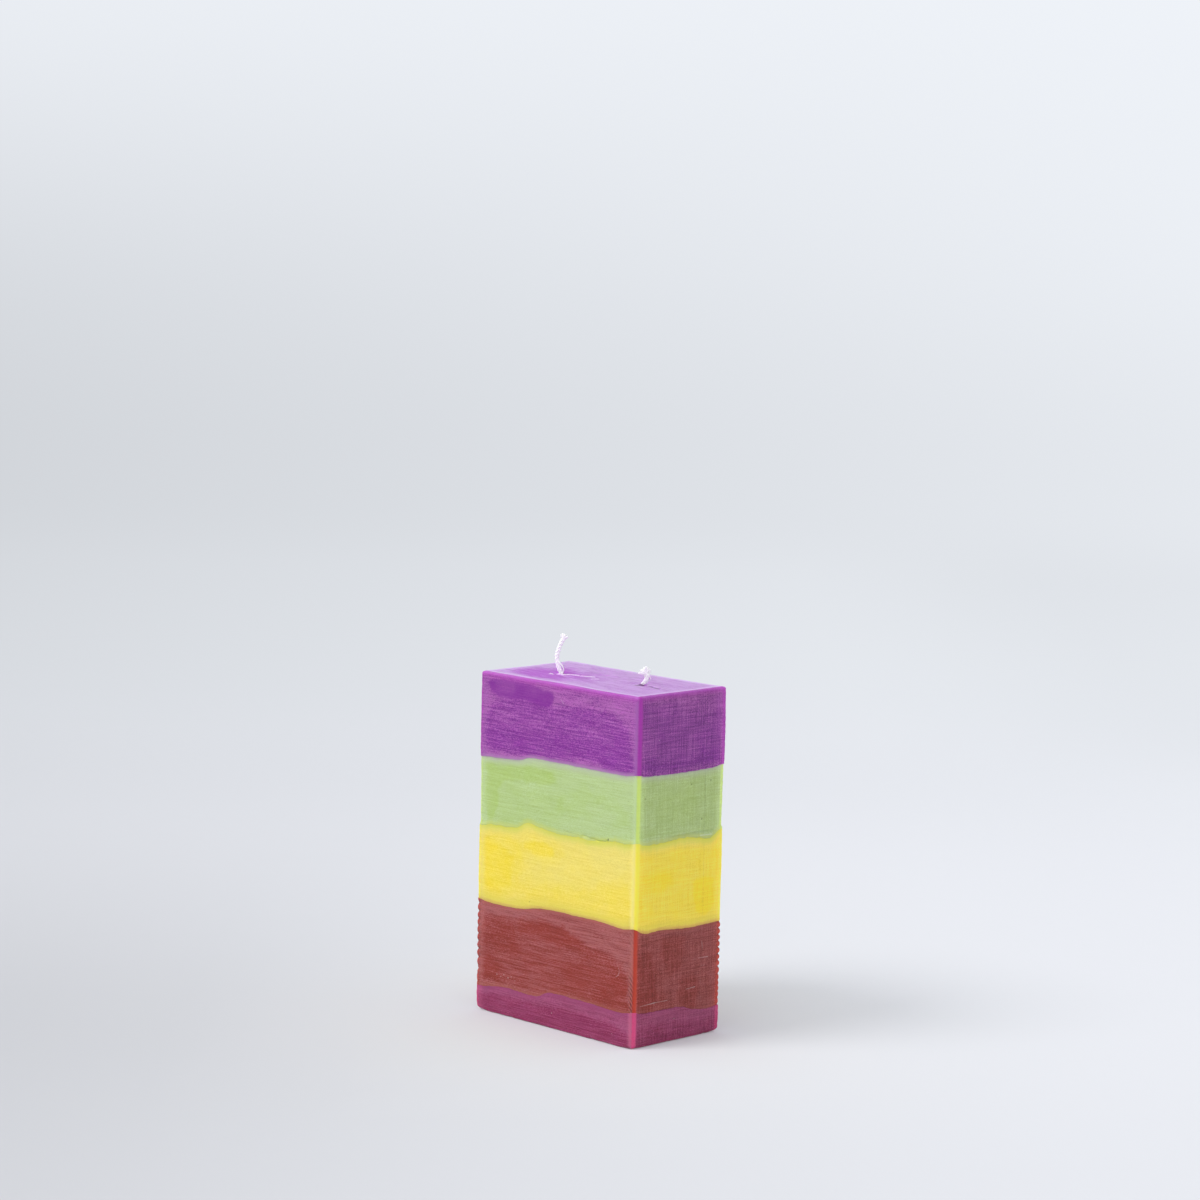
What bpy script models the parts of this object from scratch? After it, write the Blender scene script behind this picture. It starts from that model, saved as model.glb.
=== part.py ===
"""Five-colour block candle, poured layer on layer, with two cotton wicks.

The wax stands on its flat base, centred on the origin, with +Z up. A wide face looks
along -Y, and FRONT and BACK, LEFT and RIGHT below are as seen from there. Each colour
is a pour of its own, which lies in the set surface of the one under it. Each wick runs
down through all five pours to a pressed metal tab, seated in a pocket in the base.
"""

import math

import bmesh
import bpy

MM = 0.001

# Block
WIDTH = 90.0 * MM
DEPTH = 49.0 * MM
CORNER_RADIUS = 1.4 * MM
BASE_ROUND = 1.4 * MM
TOP_ROUND = 0.8 * MM
SEAM_ROUND = 0.25 * MM
WALL_SWELL = 0.15 * MM

# Mean height of each pour, from the base up
PLUM_POUR = 12.2 * MM
RED_POUR = 33.4 * MM
YELLOW_POUR = 33.9 * MM
GREEN_POUR = 27.7 * MM
PURPLE_POUR = 32.8 * MM

# How far each pour has shrunk in, at its foot and at its head
PLUM_FOOT_INSET = 0.35 * MM
PLUM_HEAD_INSET = 0.2 * MM
RED_FOOT_INSET = 0.5 * MM
RED_HEAD_INSET = 0.3 * MM
YELLOW_FOOT_INSET = 0.15 * MM
YELLOW_HEAD_INSET = 0.15 * MM
GREEN_FOOT_INSET = 0.7 * MM
GREEN_HEAD_INSET = 0.3 * MM
PURPLE_FOOT_INSET = 0.15 * MM
PURPLE_HEAD_INSET = 0.15 * MM

# Fits
POUR_GAP = 0.3 * MM
WICK_CLEARANCE = 0.3 * MM
TAB_CLEARANCE = 0.3 * MM

# Wicks
WICK_WIDTH = 1.8 * MM
WICK_THICKNESS = 1.4 * MM
STRAND_THICKNESS = 0.5 * MM
WICK_LEAN_ANGLE = math.radians(45.5)
LEFT_WICK_FROM_LEFT = 24.1 * MM
LEFT_WICK_FROM_FRONT = 21.6 * MM
RIGHT_WICK_FROM_RIGHT = 23.6 * MM
RIGHT_WICK_FROM_FRONT = 26.1 * MM

# Wick tabs
TAB_DIAMETER = 12.5 * MM
TAB_RIM_WIDTH = 1.6 * MM
TAB_STEP_WIDTH = 0.8 * MM
TAB_STEP_HEIGHT = 0.5 * MM
TAB_SHEET = 0.35 * MM
NECK_WALL = 0.25 * MM
NECK_HEIGHT = 3.2 * MM
NECK_FLARE = 0.6 * MM
TAB_RECESS = 0.3 * MM

# Crack that opened beside the right wick as the top pour cooled
CRACK_FROM_WICK = 1.9 * MM
CRACK_LENGTH = 11.5 * MM
CRACK_MOUTH = 1.2 * MM
CRACK_TIP = 0.3 * MM
CRACK_DEPTH = 0.8 * MM
CRACK_ANGLE = math.radians(-12.5)

# Facets
LONG_WALL_STEPS = 26
SHORT_WALL_STEPS = 12
CORNER_STEPS = 4
WICK_SIDES = 10
STRAND_SIDES = 4
TAB_SIDES = 28
STEPS_PER_BEND = 2
SEAM_RING_INSET = 2.0 * MM
SEAM_RING_SHARES = (1.0, 0.66, 0.32)
OVERCUT = 1.0 * MM

LEFT = -1
RIGHT = 1
FRONT = -1
BACK = 1


class Swell:
    """A soft rise in a set surface, placed by its distance from two walls."""

    def __init__(self, rise, side, from_side, wall, from_wall, reach_x, reach_y):
        self.rise = rise * MM
        self.x = side * (WIDTH / 2 - from_side * MM)
        self.y = wall * (DEPTH / 2 - from_wall * MM)
        self.reach_x = reach_x * MM
        self.reach_y = reach_y * MM

    def height(self, x, y):
        across = (x - self.x) / self.reach_x
        along = (y - self.y) / self.reach_y
        return self.rise * math.exp(-across * across - along * along)


class SetSurface:
    """The surface in which a pour set, and on which the next one lies.

    Its height is a mean level, a fall from front to back, a shoulder where the wax
    stands higher to the right of a line, and the swells that crept up the walls.
    """

    def __init__(self, level, shoulder=0.0, from_left=0.0, run=1.0, fall=0.0, swells=()):
        self.level = level
        self.shoulder = shoulder * MM
        self.shoulder_x = from_left * MM - WIDTH / 2
        self.run = run * MM
        self.fall = fall
        self.swells = swells

    def height(self, x, y):
        rise = 0.5 * self.shoulder * math.tanh((x - self.shoulder_x) / self.run)
        crept = sum(swell.height(x, y) for swell in self.swells)
        return self.level + rise - self.fall * y + crept

    def is_flat(self):
        return not (self.shoulder or self.fall or self.swells)


def set_surfaces():
    """Returns the six surfaces that bound the five pours, from the base to the top."""
    plum_level = PLUM_POUR
    red_level = plum_level + RED_POUR
    yellow_level = red_level + YELLOW_POUR
    green_level = yellow_level + GREEN_POUR
    plum = SetSurface(
        plum_level,
        shoulder=3.2,
        from_left=39.0,
        run=2.5,
        fall=0.03,
        swells=(
            Swell(0.5, LEFT, 18.0, FRONT, 0.0, 6.0, 12.0),
            Swell(-0.8, LEFT, 4.0, FRONT, 0.0, 5.0, 12.0),
            Swell(-0.5, LEFT, 0.0, FRONT, 0.0, 10.0, 14.0),
            Swell(-0.7, RIGHT, 8.0, FRONT, 0.0, 12.0, 14.0),
            Swell(-0.4, RIGHT, 0.0, FRONT, 10.0, 14.0, 8.0),
            Swell(0.7, RIGHT, 0.0, FRONT, 0.0, 3.5, 4.0),
            Swell(-3.0, RIGHT, 0.0, BACK, 7.5, 20.0, 13.0),
            Swell(0.5, RIGHT, 0.0, BACK, 21.0, 16.0, 3.5),
        ),
    )
    red = SetSurface(
        red_level,
        shoulder=2.0,
        from_left=30.0,
        run=6.0,
        fall=0.03,
        swells=(
            Swell(0.9, LEFT, 47.0, FRONT, 0.0, 16.0, 10.0),
            Swell(1.0, LEFT, 0.0, FRONT, 0.0, 4.0, 4.0),
            Swell(0.9, RIGHT, 20.0, FRONT, 0.0, 12.0, 10.0),
            Swell(1.2, RIGHT, 0.0, FRONT, 0.0, 4.0, 4.0),
            Swell(-1.0, RIGHT, 0.0, FRONT, 8.0, 10.0, 7.0),
            Swell(-1.6, RIGHT, 0.0, BACK, 18.5, 20.0, 18.0),
        ),
    )
    yellow = SetSurface(
        yellow_level,
        shoulder=2.6,
        from_left=25.0,
        run=4.0,
        swells=(
            Swell(-1.3, LEFT, 0.0, FRONT, 0.0, 7.0, 14.0),
            Swell(1.3, LEFT, 29.0, FRONT, 0.0, 4.0, 9.0),
            Swell(-0.5, LEFT, 47.0, FRONT, 0.0, 8.0, 10.0),
            Swell(-1.1, RIGHT, 33.0, FRONT, 0.0, 14.0, 12.0),
            Swell(0.8, RIGHT, 33.0, FRONT, 0.0, 4.0, 10.0),
            Swell(0.9, RIGHT, 11.0, FRONT, 0.0, 5.5, 8.0),
            Swell(1.2, RIGHT, 0.0, FRONT, 0.0, 4.0, 4.0),
            Swell(0.7, RIGHT, 0.0, BACK, 22.0, 12.0, 10.0),
            Swell(-0.6, RIGHT, 0.0, BACK, 11.5, 14.0, 5.0),
            Swell(-1.0, RIGHT, 0.0, BACK, 7.5, 12.0, 3.5),
            Swell(2.1, RIGHT, 0.0, BACK, 0.0, 4.0, 4.0),
        ),
    )
    green = SetSurface(
        green_level,
        shoulder=2.1,
        from_left=26.0,
        run=3.0,
        swells=(
            Swell(-0.7, LEFT, 8.0, FRONT, 0.0, 8.0, 12.0),
            Swell(-0.7, LEFT, 0.0, FRONT, 0.0, 4.0, 10.0),
            Swell(0.8, RIGHT, 0.0, FRONT, 0.0, 4.0, 4.0),
            Swell(-0.5, RIGHT, 0.0, BACK, 20.0, 14.0, 20.0),
            Swell(0.9, RIGHT, 0.0, BACK, 0.0, 4.0, 4.0),
        ),
    )
    top = SetSurface(green_level + PURPLE_POUR)
    return SetSurface(0.0), plum, red, yellow, green, top


def block_outline(inset):
    """Returns the points of the block's rounded outline, moved in by inset."""
    radius = max(CORNER_RADIUS - inset, 0.2 * CORNER_RADIUS)
    reach_x = WIDTH / 2 - inset - radius
    reach_y = DEPTH / 2 - inset - radius
    corners = ((reach_x, -reach_y), (reach_x, reach_y), (-reach_x, reach_y), (-reach_x, -reach_y))
    wall_steps = (SHORT_WALL_STEPS, LONG_WALL_STEPS, SHORT_WALL_STEPS, LONG_WALL_STEPS)
    points = []
    for turn, steps in enumerate(wall_steps):
        x, y = corners[turn]
        next_x, next_y = corners[(turn + 1) % len(corners)]
        for step in range(CORNER_STEPS):
            angle = math.pi / 2 * (turn - 1 + step / CORNER_STEPS)
            points.append((x + radius * math.cos(angle), y + radius * math.sin(angle)))
        out_x = radius * math.cos(math.pi / 2 * turn)
        out_y = radius * math.sin(math.pi / 2 * turn)
        for step in range(steps):
            share = step / steps
            points.append((x + out_x + share * (next_x - x), y + out_y + share * (next_y - y)))
    return points


def drawn_in(outline, share):
    """Draws an outline in towards the block's long middle line, to a share of its way out."""
    spine = (WIDTH - DEPTH) / 2
    points = []
    for x, y in outline:
        middle = max(-spine, min(spine, x))
        points.append((middle + share * (x - middle), share * y))
    return points


def skin(mesh, lower, upper):
    """Joins two rings of the same count with a band of faces."""
    for index in range(len(lower)):
        after = (index + 1) % len(lower)
        mesh.faces.new((lower[index], lower[after], upper[after], upper[index]))


def seam_triangles(outer, inner):
    """Lists the triangles between two nested rings, facing up.

    Points of the inner ring may meet in one vertex, where the band comes to a point.
    """
    triangles = []
    for index in range(len(outer)):
        after = (index + 1) % len(outer)
        triangles.append((outer[index], outer[after], inner[after]))
        if inner[index] is not inner[after]:
            triangles.append((outer[index], inner[after], inner[index]))
    return triangles


def middle_line(mesh, outline, height):
    """Draws an outline all the way in to the middle line, where its points meet in pairs."""
    meeting = {}
    ring = []
    for x, y in drawn_in(outline, 0.0):
        place = round(x / MM, 3)
        if place not in meeting:
            meeting[place] = mesh.verts.new((x, 0.0, height(x, 0.0)))
        ring.append(meeting[place])
    return ring


def close_pour(mesh, edge_ring, height, facing):
    """Closes one end of a pour with its set surface.

    The inner rings stand on the same points on both sides of a seam, so the two
    surfaces stay the same distance apart all over.
    """
    outline = block_outline(SEAM_RING_INSET)
    rings = [edge_ring]
    for share in SEAM_RING_SHARES:
        rings.append([mesh.verts.new((x, y, height(x, y))) for x, y in drawn_in(outline, share)])
    rings.append(middle_line(mesh, outline, height))
    for outer, inner in zip(rings, rings[1:]):
        for triangle in seam_triangles(outer, inner):
            mesh.faces.new(triangle if facing > 0 else triangle[::-1])


class PourEnd:
    """One end of a pour: its surface, seam gap, inset, edge round and steps in the round."""

    def __init__(self, surface, gap, inset, edge_round, steps):
        self.surface = surface
        self.gap = gap
        self.inset = inset
        self.edge_round = edge_round
        self.steps = steps

    def height(self, x, y):
        return self.surface.height(x, y) + self.gap

    def rows(self, facing):
        """Lists the wall's rows round this edge as (inset, rise), from the cap to the wall."""
        rows = []
        for step in range(self.steps + 1):
            angle = math.pi / 2 * step / self.steps
            inset = self.inset + self.edge_round * (1 - math.sin(angle))
            rise = -facing * self.edge_round * (1 - math.cos(angle))
            rows.append((inset, rise))
        return rows


def pour_mesh(foot, head):
    """Lofts one pour between the surface it lies in and the surface it set in.

    Its wall goes up from the foot's outline to the head's, swells a little at half
    height, and turns in over a small round at both ends.
    """
    mesh = bmesh.new()

    def ring(inset, height):
        return [mesh.verts.new((x, y, height(x, y))) for x, y in block_outline(inset)]

    rings = []
    for inset, rise in foot.rows(facing=-1):
        rings.append(ring(inset, lambda x, y: foot.height(x, y) + rise))
    swell_inset = (foot.inset + head.inset) / 2 - WALL_SWELL
    rings.append(ring(swell_inset, lambda x, y: (foot.height(x, y) + head.height(x, y)) / 2))
    for inset, rise in reversed(head.rows(facing=1)):
        rings.append(ring(inset, lambda x, y: head.height(x, y) + rise))
    for lower, upper in zip(rings, rings[1:]):
        skin(mesh, lower, upper)
    for end, edge_ring, facing in ((foot, rings[0], -1), (head, rings[-1], 1)):
        if end.surface.is_flat():
            mesh.faces.new(edge_ring if facing > 0 else edge_ring[::-1])
        else:
            close_pour(mesh, edge_ring, end.height, facing)
    return mesh


def lathe_mesh(rings, sides, closed_loop):
    """Stacks elliptical rings, given as (half width, half thickness, height), from the foot up.

    A closed loop of rings turns back inside itself, which leaves a bore down the middle.
    """
    mesh = bmesh.new()
    loops = []
    for half_width, half_thickness, height in rings:
        loop = []
        for side in range(sides):
            angle = 2 * math.pi * side / sides
            point = (half_width * math.cos(angle), half_thickness * math.sin(angle), height)
            loop.append(mesh.verts.new(point))
        loops.append(loop)
    for lower, upper in zip(loops, loops[1:]):
        skin(mesh, lower, upper)
    if closed_loop:
        skin(mesh, loops[-1], loops[0])
    else:
        mesh.faces.new(loops[0][::-1])
        mesh.faces.new(loops[-1])
    return mesh


def smooth_route(points, steps):
    """Reads a Catmull-Rom curve through the points, with some steps between each two."""
    padded = [points[0]] + list(points) + [points[-1]]
    route = []
    for before, start, end, after in zip(padded, padded[1:], padded[2:], padded[3:]):
        for step in range(steps):
            t = step / steps
            route.append(tuple(
                0.5 * (2 * b + (c - a) * t + (2 * a - 5 * b + 4 * c - d) * t ** 2
                       + (3 * b - a - 3 * c + d) * t ** 3)
                for a, b, c, d in zip(before, start, end, after)
            ))
    route.append(tuple(points[-1]))
    return route


def cord_mesh(route, half_widths, flatness, sides, phase=0.0):
    """Carries an elliptical section along a route that bends in the XZ plane.

    The phase turns the section's corners by that share of a side.
    """
    mesh = bmesh.new()
    loops = []
    for index, (x, y, z) in enumerate(route):
        before = route[max(index - 1, 0)]
        after = route[min(index + 1, len(route) - 1)]
        slope = math.atan2(after[0] - before[0], after[2] - before[2])
        loop = []
        for side in range(sides):
            angle = 2 * math.pi * (side + phase) / sides
            across = half_widths[index] * math.cos(angle)
            thick = half_widths[index] * flatness * math.sin(angle)
            point = (x + across * math.cos(slope), y + thick, z - across * math.sin(slope))
            loop.append(mesh.verts.new(point))
        loops.append(loop)
    for lower, upper in zip(loops, loops[1:]):
        skin(mesh, lower, upper)
    mesh.faces.new(loops[0][::-1])
    mesh.faces.new(loops[-1])
    return mesh


def finished(name, mesh, location=(0.0, 0.0, 0.0), turn=0.0):
    """Makes an object of a mesh and puts it in its place on the candle."""
    data = bpy.data.meshes.new(name)
    mesh.normal_update()
    mesh.to_mesh(data)
    mesh.free()
    data.shade_smooth()
    data.set_sharp_from_angle(angle=math.radians(35))
    piece = bpy.data.objects.new(name, data)
    piece.location = location
    piece.rotation_euler = (0.0, 0.0, turn)
    bpy.context.scene.collection.objects.link(piece)
    return piece


def tool(piece):
    """Marks an object as one that only shapes another."""
    piece.hide_render = True
    piece.display_type = "WIRE"
    return piece


def combine(piece, shaper, operation):
    modifier = piece.modifiers.new(shaper.name, "BOOLEAN")
    modifier.operation = operation
    modifier.solver = "EXACT"
    modifier.object = shaper


def wax(name, colour):
    """A translucent, slightly waxy finish."""
    material = bpy.data.materials.new(name)
    material.use_nodes = True
    shader = material.node_tree.nodes["Principled BSDF"]
    shader.inputs["Base Color"].default_value = (*colour, 1.0)
    shader.inputs["Roughness"].default_value = 0.5
    shader.inputs["Metallic"].default_value = 0.0
    shader.inputs["Subsurface Weight"].default_value = 0.1
    shader.inputs["Subsurface Scale"].default_value = 2.0 * MM
    return material


def cotton():
    material = bpy.data.materials.new("white_cotton")
    material.use_nodes = True
    shader = material.node_tree.nodes["Principled BSDF"]
    shader.inputs["Base Color"].default_value = (0.82, 0.79, 0.73, 1.0)
    shader.inputs["Roughness"].default_value = 0.95
    shader.inputs["Metallic"].default_value = 0.0
    return material


def tinplate():
    material = bpy.data.materials.new("tinplate")
    material.use_nodes = True
    shader = material.node_tree.nodes["Principled BSDF"]
    shader.inputs["Base Color"].default_value = (0.62, 0.62, 0.60, 1.0)
    shader.inputs["Roughness"].default_value = 0.35
    shader.inputs["Metallic"].default_value = 1.0
    return material


class WickPlace:
    """Where a wick stands in the block, shared by its bore, its tab and its pocket."""

    def __init__(self, side, x, y):
        self.side = side
        self.x = x
        self.y = y

    def at(self, height):
        return (self.x, self.y, height)


def wick_places():
    left = WickPlace("left", LEFT_WICK_FROM_LEFT - WIDTH / 2, LEFT_WICK_FROM_FRONT - DEPTH / 2)
    right = WickPlace("right", WIDTH / 2 - RIGHT_WICK_FROM_RIGHT, RIGHT_WICK_FROM_FRONT - DEPTH / 2)
    return left, right


def make_pours(surfaces):
    """Makes the five pours, each with a finish of its own."""
    base, plum, red, yellow, green, top = surfaces
    half_gap = POUR_GAP / 2

    def lower(surface, inset):
        return PourEnd(surface, half_gap, inset, SEAM_ROUND, steps=1)

    def upper(surface, inset):
        return PourEnd(surface, -half_gap, inset, SEAM_ROUND, steps=1)

    base_end = PourEnd(base, 0.0, PLUM_FOOT_INSET, BASE_ROUND, steps=3)
    top_end = PourEnd(top, 0.0, PURPLE_HEAD_INSET, TOP_ROUND, steps=2)
    pours = (
        ("plum", base_end, upper(plum, PLUM_HEAD_INSET), (0.270, 0.052, 0.120)),
        ("red", lower(plum, RED_FOOT_INSET), upper(red, RED_HEAD_INSET), (0.300, 0.072, 0.060)),
        ("yellow", lower(red, YELLOW_FOOT_INSET), upper(yellow, YELLOW_HEAD_INSET), (0.810, 0.660, 0.110)),
        ("green", lower(yellow, GREEN_FOOT_INSET), upper(green, GREEN_HEAD_INSET), (0.430, 0.560, 0.230)),
        ("purple", lower(green, PURPLE_FOOT_INSET), top_end, (0.280, 0.070, 0.350)),
    )
    layers = {}
    for colour_name, foot, head, colour in pours:
        layer = finished(colour_name + "_layer", pour_mesh(foot, head))
        layer.data.materials.append(wax(colour_name + "_wax", colour))
        layers[colour_name] = layer
    return layers


def neck_half_sizes():
    """Half width and half thickness of the bore and of the outside of a tab's crimped neck."""
    bore = (WICK_WIDTH / 2 + WICK_CLEARANCE, WICK_THICKNESS / 2 + WICK_CLEARANCE)
    outside = (bore[0] + NECK_WALL, bore[1] + NECK_WALL)
    return bore, outside


def make_tab(place):
    """Presses the tab: a flat rim, a step up to its middle, and the neck that grips the wick."""
    bore, neck = neck_half_sizes()
    rim = TAB_DIAMETER / 2
    step_out = rim - TAB_RIM_WIDTH
    step_in = step_out - TAB_STEP_WIDTH
    middle = TAB_STEP_HEIGHT + TAB_SHEET
    rings = (
        (bore[0], bore[1], TAB_STEP_HEIGHT),
        (step_in, step_in, TAB_STEP_HEIGHT),
        (step_out, step_out, 0.0),
        (rim, rim, 0.0),
        (rim, rim, TAB_SHEET),
        (step_out, step_out, TAB_SHEET),
        (step_in, step_in, middle),
        (neck[0] + NECK_FLARE, neck[1] + NECK_FLARE, middle),
        (neck[0], neck[1], middle + NECK_FLARE),
        (neck[0], neck[1], middle + NECK_HEIGHT),
        (bore[0], bore[1], middle + NECK_HEIGHT),
    )
    mesh = lathe_mesh(rings, TAB_SIDES, closed_loop=True)
    name = place.side + "_wick_tab"
    return finished(name, mesh, place.at(TAB_RECESS), WICK_LEAN_ANGLE)


def make_pocket(place):
    """The pocket that the wax left round a tab, open at the base."""
    neck = neck_half_sizes()[1]
    rim = TAB_DIAMETER / 2 + TAB_CLEARANCE
    step_out = rim - TAB_RIM_WIDTH
    step_in = step_out - TAB_STEP_WIDTH
    ceiling = TAB_SHEET + TAB_CLEARANCE
    middle = ceiling + TAB_STEP_HEIGHT
    flare = NECK_FLARE + TAB_CLEARANCE
    rings = (
        (rim, rim, -TAB_RECESS - OVERCUT),
        (rim, rim, ceiling),
        (step_out, step_out, ceiling),
        (step_in, step_in, middle),
        (neck[0] + flare, neck[1] + flare, middle),
        (neck[0] + TAB_CLEARANCE, neck[1] + TAB_CLEARANCE, middle + NECK_FLARE),
        (neck[0] + TAB_CLEARANCE, neck[1] + TAB_CLEARANCE, middle + NECK_HEIGHT),
    )
    mesh = lathe_mesh(rings, TAB_SIDES, closed_loop=False)
    return tool(finished(place.side + "_pocket_tool", mesh, place.at(TAB_RECESS), WICK_LEAN_ANGLE))


def make_bore(place, top_height):
    """The hole that a wick leaves through the wax."""
    bore = neck_half_sizes()[0]
    rings = ((bore[0], bore[1], -OVERCUT), (bore[0], bore[1], top_height + OVERCUT))
    mesh = lathe_mesh(rings, WICK_SIDES, closed_loop=False)
    return tool(finished(place.side + "_bore_tool", mesh, place.at(0.0), WICK_LEAN_ANGLE))


def wick_route(points, top_height):
    """Reads a smooth route through points given in millimetres of lean, offset and height."""
    places = [(lean * MM, aside * MM, top_height + rise * MM) for lean, aside, rise in points]
    return smooth_route(places, STEPS_PER_BEND)


def make_strand(name, place, route):
    """One loose strand of a frayed wick, thinner towards its end."""
    last = len(route) - 1
    half_widths = [STRAND_THICKNESS / 2 * (1 - 0.5 * index / last) for index in range(len(route))]
    mesh = cord_mesh(route, half_widths, 1.0, STRAND_SIDES, phase=0.3)
    return tool(finished(name, mesh, place.at(0.0), WICK_LEAN_ANGLE))


def make_wick(place, top_height, stub, strands):
    """A wick, straight inside the wax and bent above it, with its frayed strands joined on."""
    start = [(0.0, 0.0, TAB_RECESS), (0.0, 0.0, top_height - WICK_WIDTH)]
    route = start + wick_route(stub, top_height)
    half_widths = [WICK_WIDTH / 2] * len(route)
    half_widths[-1] = WICK_WIDTH * 0.4
    mesh = cord_mesh(route, half_widths, WICK_THICKNESS / WICK_WIDTH, WICK_SIDES)
    wick = finished(place.side + "_wick", mesh, place.at(0.0), WICK_LEAN_ANGLE)
    for number, points in enumerate(strands, start=1):
        name = f"{place.side}_strand_tool_{number}"
        combine(wick, make_strand(name, place, wick_route(points, top_height)), "UNION")
    wick.data.materials.append(cotton())
    return wick


def make_crack(place, top_height):
    """The crack beside the right wick: a groove with a V section, narrower and shallower at its tip."""
    mesh = bmesh.new()
    over = OVERCUT / CRACK_DEPTH
    sections = []
    for x, width, depth in ((0.0, CRACK_MOUTH, CRACK_DEPTH), (CRACK_LENGTH, CRACK_TIP, CRACK_DEPTH / 2)):
        half = width / 2 * (1 + over)
        sections.append((
            mesh.verts.new((x, 0.0, -depth)),
            mesh.verts.new((x, half, OVERCUT)),
            mesh.verts.new((x, -half, OVERCUT)),
        ))
    start, end = sections
    mesh.faces.new(start[::-1])
    mesh.faces.new(end)
    for index in range(len(start)):
        after = (index + 1) % len(start)
        mesh.faces.new((start[index], start[after], end[after], end[index]))
    bmesh.ops.recalc_face_normals(mesh, faces=mesh.faces)
    x = place.x + CRACK_FROM_WICK * math.cos(CRACK_ANGLE - math.radians(18))
    y = place.y + CRACK_FROM_WICK * math.sin(CRACK_ANGLE - math.radians(18))
    return tool(finished("crack_tool", mesh, (x, y, top_height), CRACK_ANGLE))


# The wicks above the wax, as millimetres of lean, offset and height over the top
LEFT_STUB = (
    (0.0, 0.0, 0.0),
    (-1.0, 0.0, 2.1),
    (-1.8, 0.0, 4.5),
    (-2.1, 0.0, 7.4),
    (-1.6, 0.0, 10.2),
    (-0.6, 0.0, 12.7),
    (0.8, 0.0, 14.4),
    (1.2, 0.0, 15.4),
)
LEFT_STRANDS = (
    ((0.5, 0.2, 14.2), (0.4, 0.3, 15.2), (0.0, 0.4, 15.9)),
    ((0.9, -0.2, 14.4), (1.2, -0.3, 15.4), (1.4, -0.4, 16.1)),
    ((0.9, 0.1, 14.0), (1.6, 0.2, 14.6), (2.3, 0.3, 14.9)),
)
RIGHT_STUB = (
    (0.0, 0.0, 0.0),
    (0.8, 0.0, 1.4),
    (1.6, 0.0, 2.6),
    (1.3, 0.0, 3.8),
    (1.7, 0.0, 5.0),
    (1.1, 0.0, 6.2),
    (1.6, 0.0, 7.4),
)
RIGHT_STRANDS = (
    ((1.4, 0.2, 4.2), (0.2, 0.3, 4.9), (-1.3, 0.4, 5.2)),
    ((1.3, -0.2, 5.2), (0.1, -0.3, 5.6), (-0.9, -0.4, 6.1)),
    ((1.3, 0.1, 5.9), (2.2, 0.2, 6.3), (3.0, 0.3, 6.7)),
    ((1.5, -0.2, 4.6), (2.6, -0.4, 4.3), (3.0, -0.5, 2.1)),
)


def build():
    for old in list(bpy.data.objects):
        bpy.data.objects.remove(old, do_unlink=True)

    candle = bpy.data.objects.new("candle", None)
    bpy.context.scene.collection.objects.link(candle)

    surfaces = set_surfaces()
    top_height = surfaces[-1].level
    layers = make_pours(surfaces)
    places = wick_places()

    metal = tinplate()
    for place, stub, strands in zip(places, (LEFT_STUB, RIGHT_STUB), (LEFT_STRANDS, RIGHT_STRANDS)):
        make_wick(place, top_height, stub, strands)
        tab = make_tab(place)
        tab.data.materials.append(metal)
        combine(layers["plum"], make_pocket(place), "DIFFERENCE")
        bore = make_bore(place, top_height)
        for layer in layers.values():
            combine(layer, bore, "DIFFERENCE")
    combine(layers["purple"], make_crack(places[1], top_height), "DIFFERENCE")

    for piece in bpy.data.objects:
        if piece is not candle:
            piece.parent = candle


build()
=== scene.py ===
"""The finish of a five-colour block candle: its wax, its wicks, its tabs and a plain studio.

Lengths are metres and walls are named as seen from -Y, where the front is. Positions on
a wall are millimetres from its left edge as one faces it, and millimetres under the top.
"""

import math
from dataclasses import dataclass
from functools import reduce

import bmesh
import bpy
import numpy as np
from bpy.props import FloatProperty, FloatVectorProperty, PointerProperty
from mathutils import Matrix, Vector


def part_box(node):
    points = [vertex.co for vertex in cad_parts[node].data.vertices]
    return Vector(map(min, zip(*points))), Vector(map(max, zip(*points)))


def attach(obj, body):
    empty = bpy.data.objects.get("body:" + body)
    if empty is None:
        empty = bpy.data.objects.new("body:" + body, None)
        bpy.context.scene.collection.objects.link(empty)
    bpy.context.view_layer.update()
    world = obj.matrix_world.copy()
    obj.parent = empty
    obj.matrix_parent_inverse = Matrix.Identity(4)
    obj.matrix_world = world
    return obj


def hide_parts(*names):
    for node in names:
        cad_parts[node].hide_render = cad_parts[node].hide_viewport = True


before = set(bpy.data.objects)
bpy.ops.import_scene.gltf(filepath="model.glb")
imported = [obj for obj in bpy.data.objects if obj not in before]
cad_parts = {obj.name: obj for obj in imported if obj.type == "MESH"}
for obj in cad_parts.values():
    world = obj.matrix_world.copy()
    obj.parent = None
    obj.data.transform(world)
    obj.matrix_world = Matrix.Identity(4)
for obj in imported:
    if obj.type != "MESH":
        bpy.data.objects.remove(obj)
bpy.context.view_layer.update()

bl_info = {
    "name": "Layered Block Candle",
    "version": (1, 0, 0),
    "blender": (4, 5, 0),
    "location": "3D View > Sidebar > Candle",
    "description": "Pours the wax, braids the wicks and lights a five-colour block candle",
    "category": "Object",
}

MM = 0.001
BLOCK_LOW, BLOCK_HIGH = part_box("yellow_layer")
TOP_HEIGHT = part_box("purple_layer")[1].z


def length(name, description, default):
    return FloatProperty(
        name=name, description=description, default=default, min=0.0, unit="LENGTH", precision=5
    )


def colour(name, description, default, most=1.0):
    return FloatVectorProperty(
        name=name, description=description, default=default, size=3, subtype="COLOR",
        min=0.0, max=most,
    )


def angle(name, description, degrees):
    return FloatProperty(
        name=name, description=description, default=math.radians(degrees), subtype="ANGLE"
    )


def amount(name, description, default):
    return FloatProperty(name=name, description=description, default=default, min=0.0)


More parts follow.
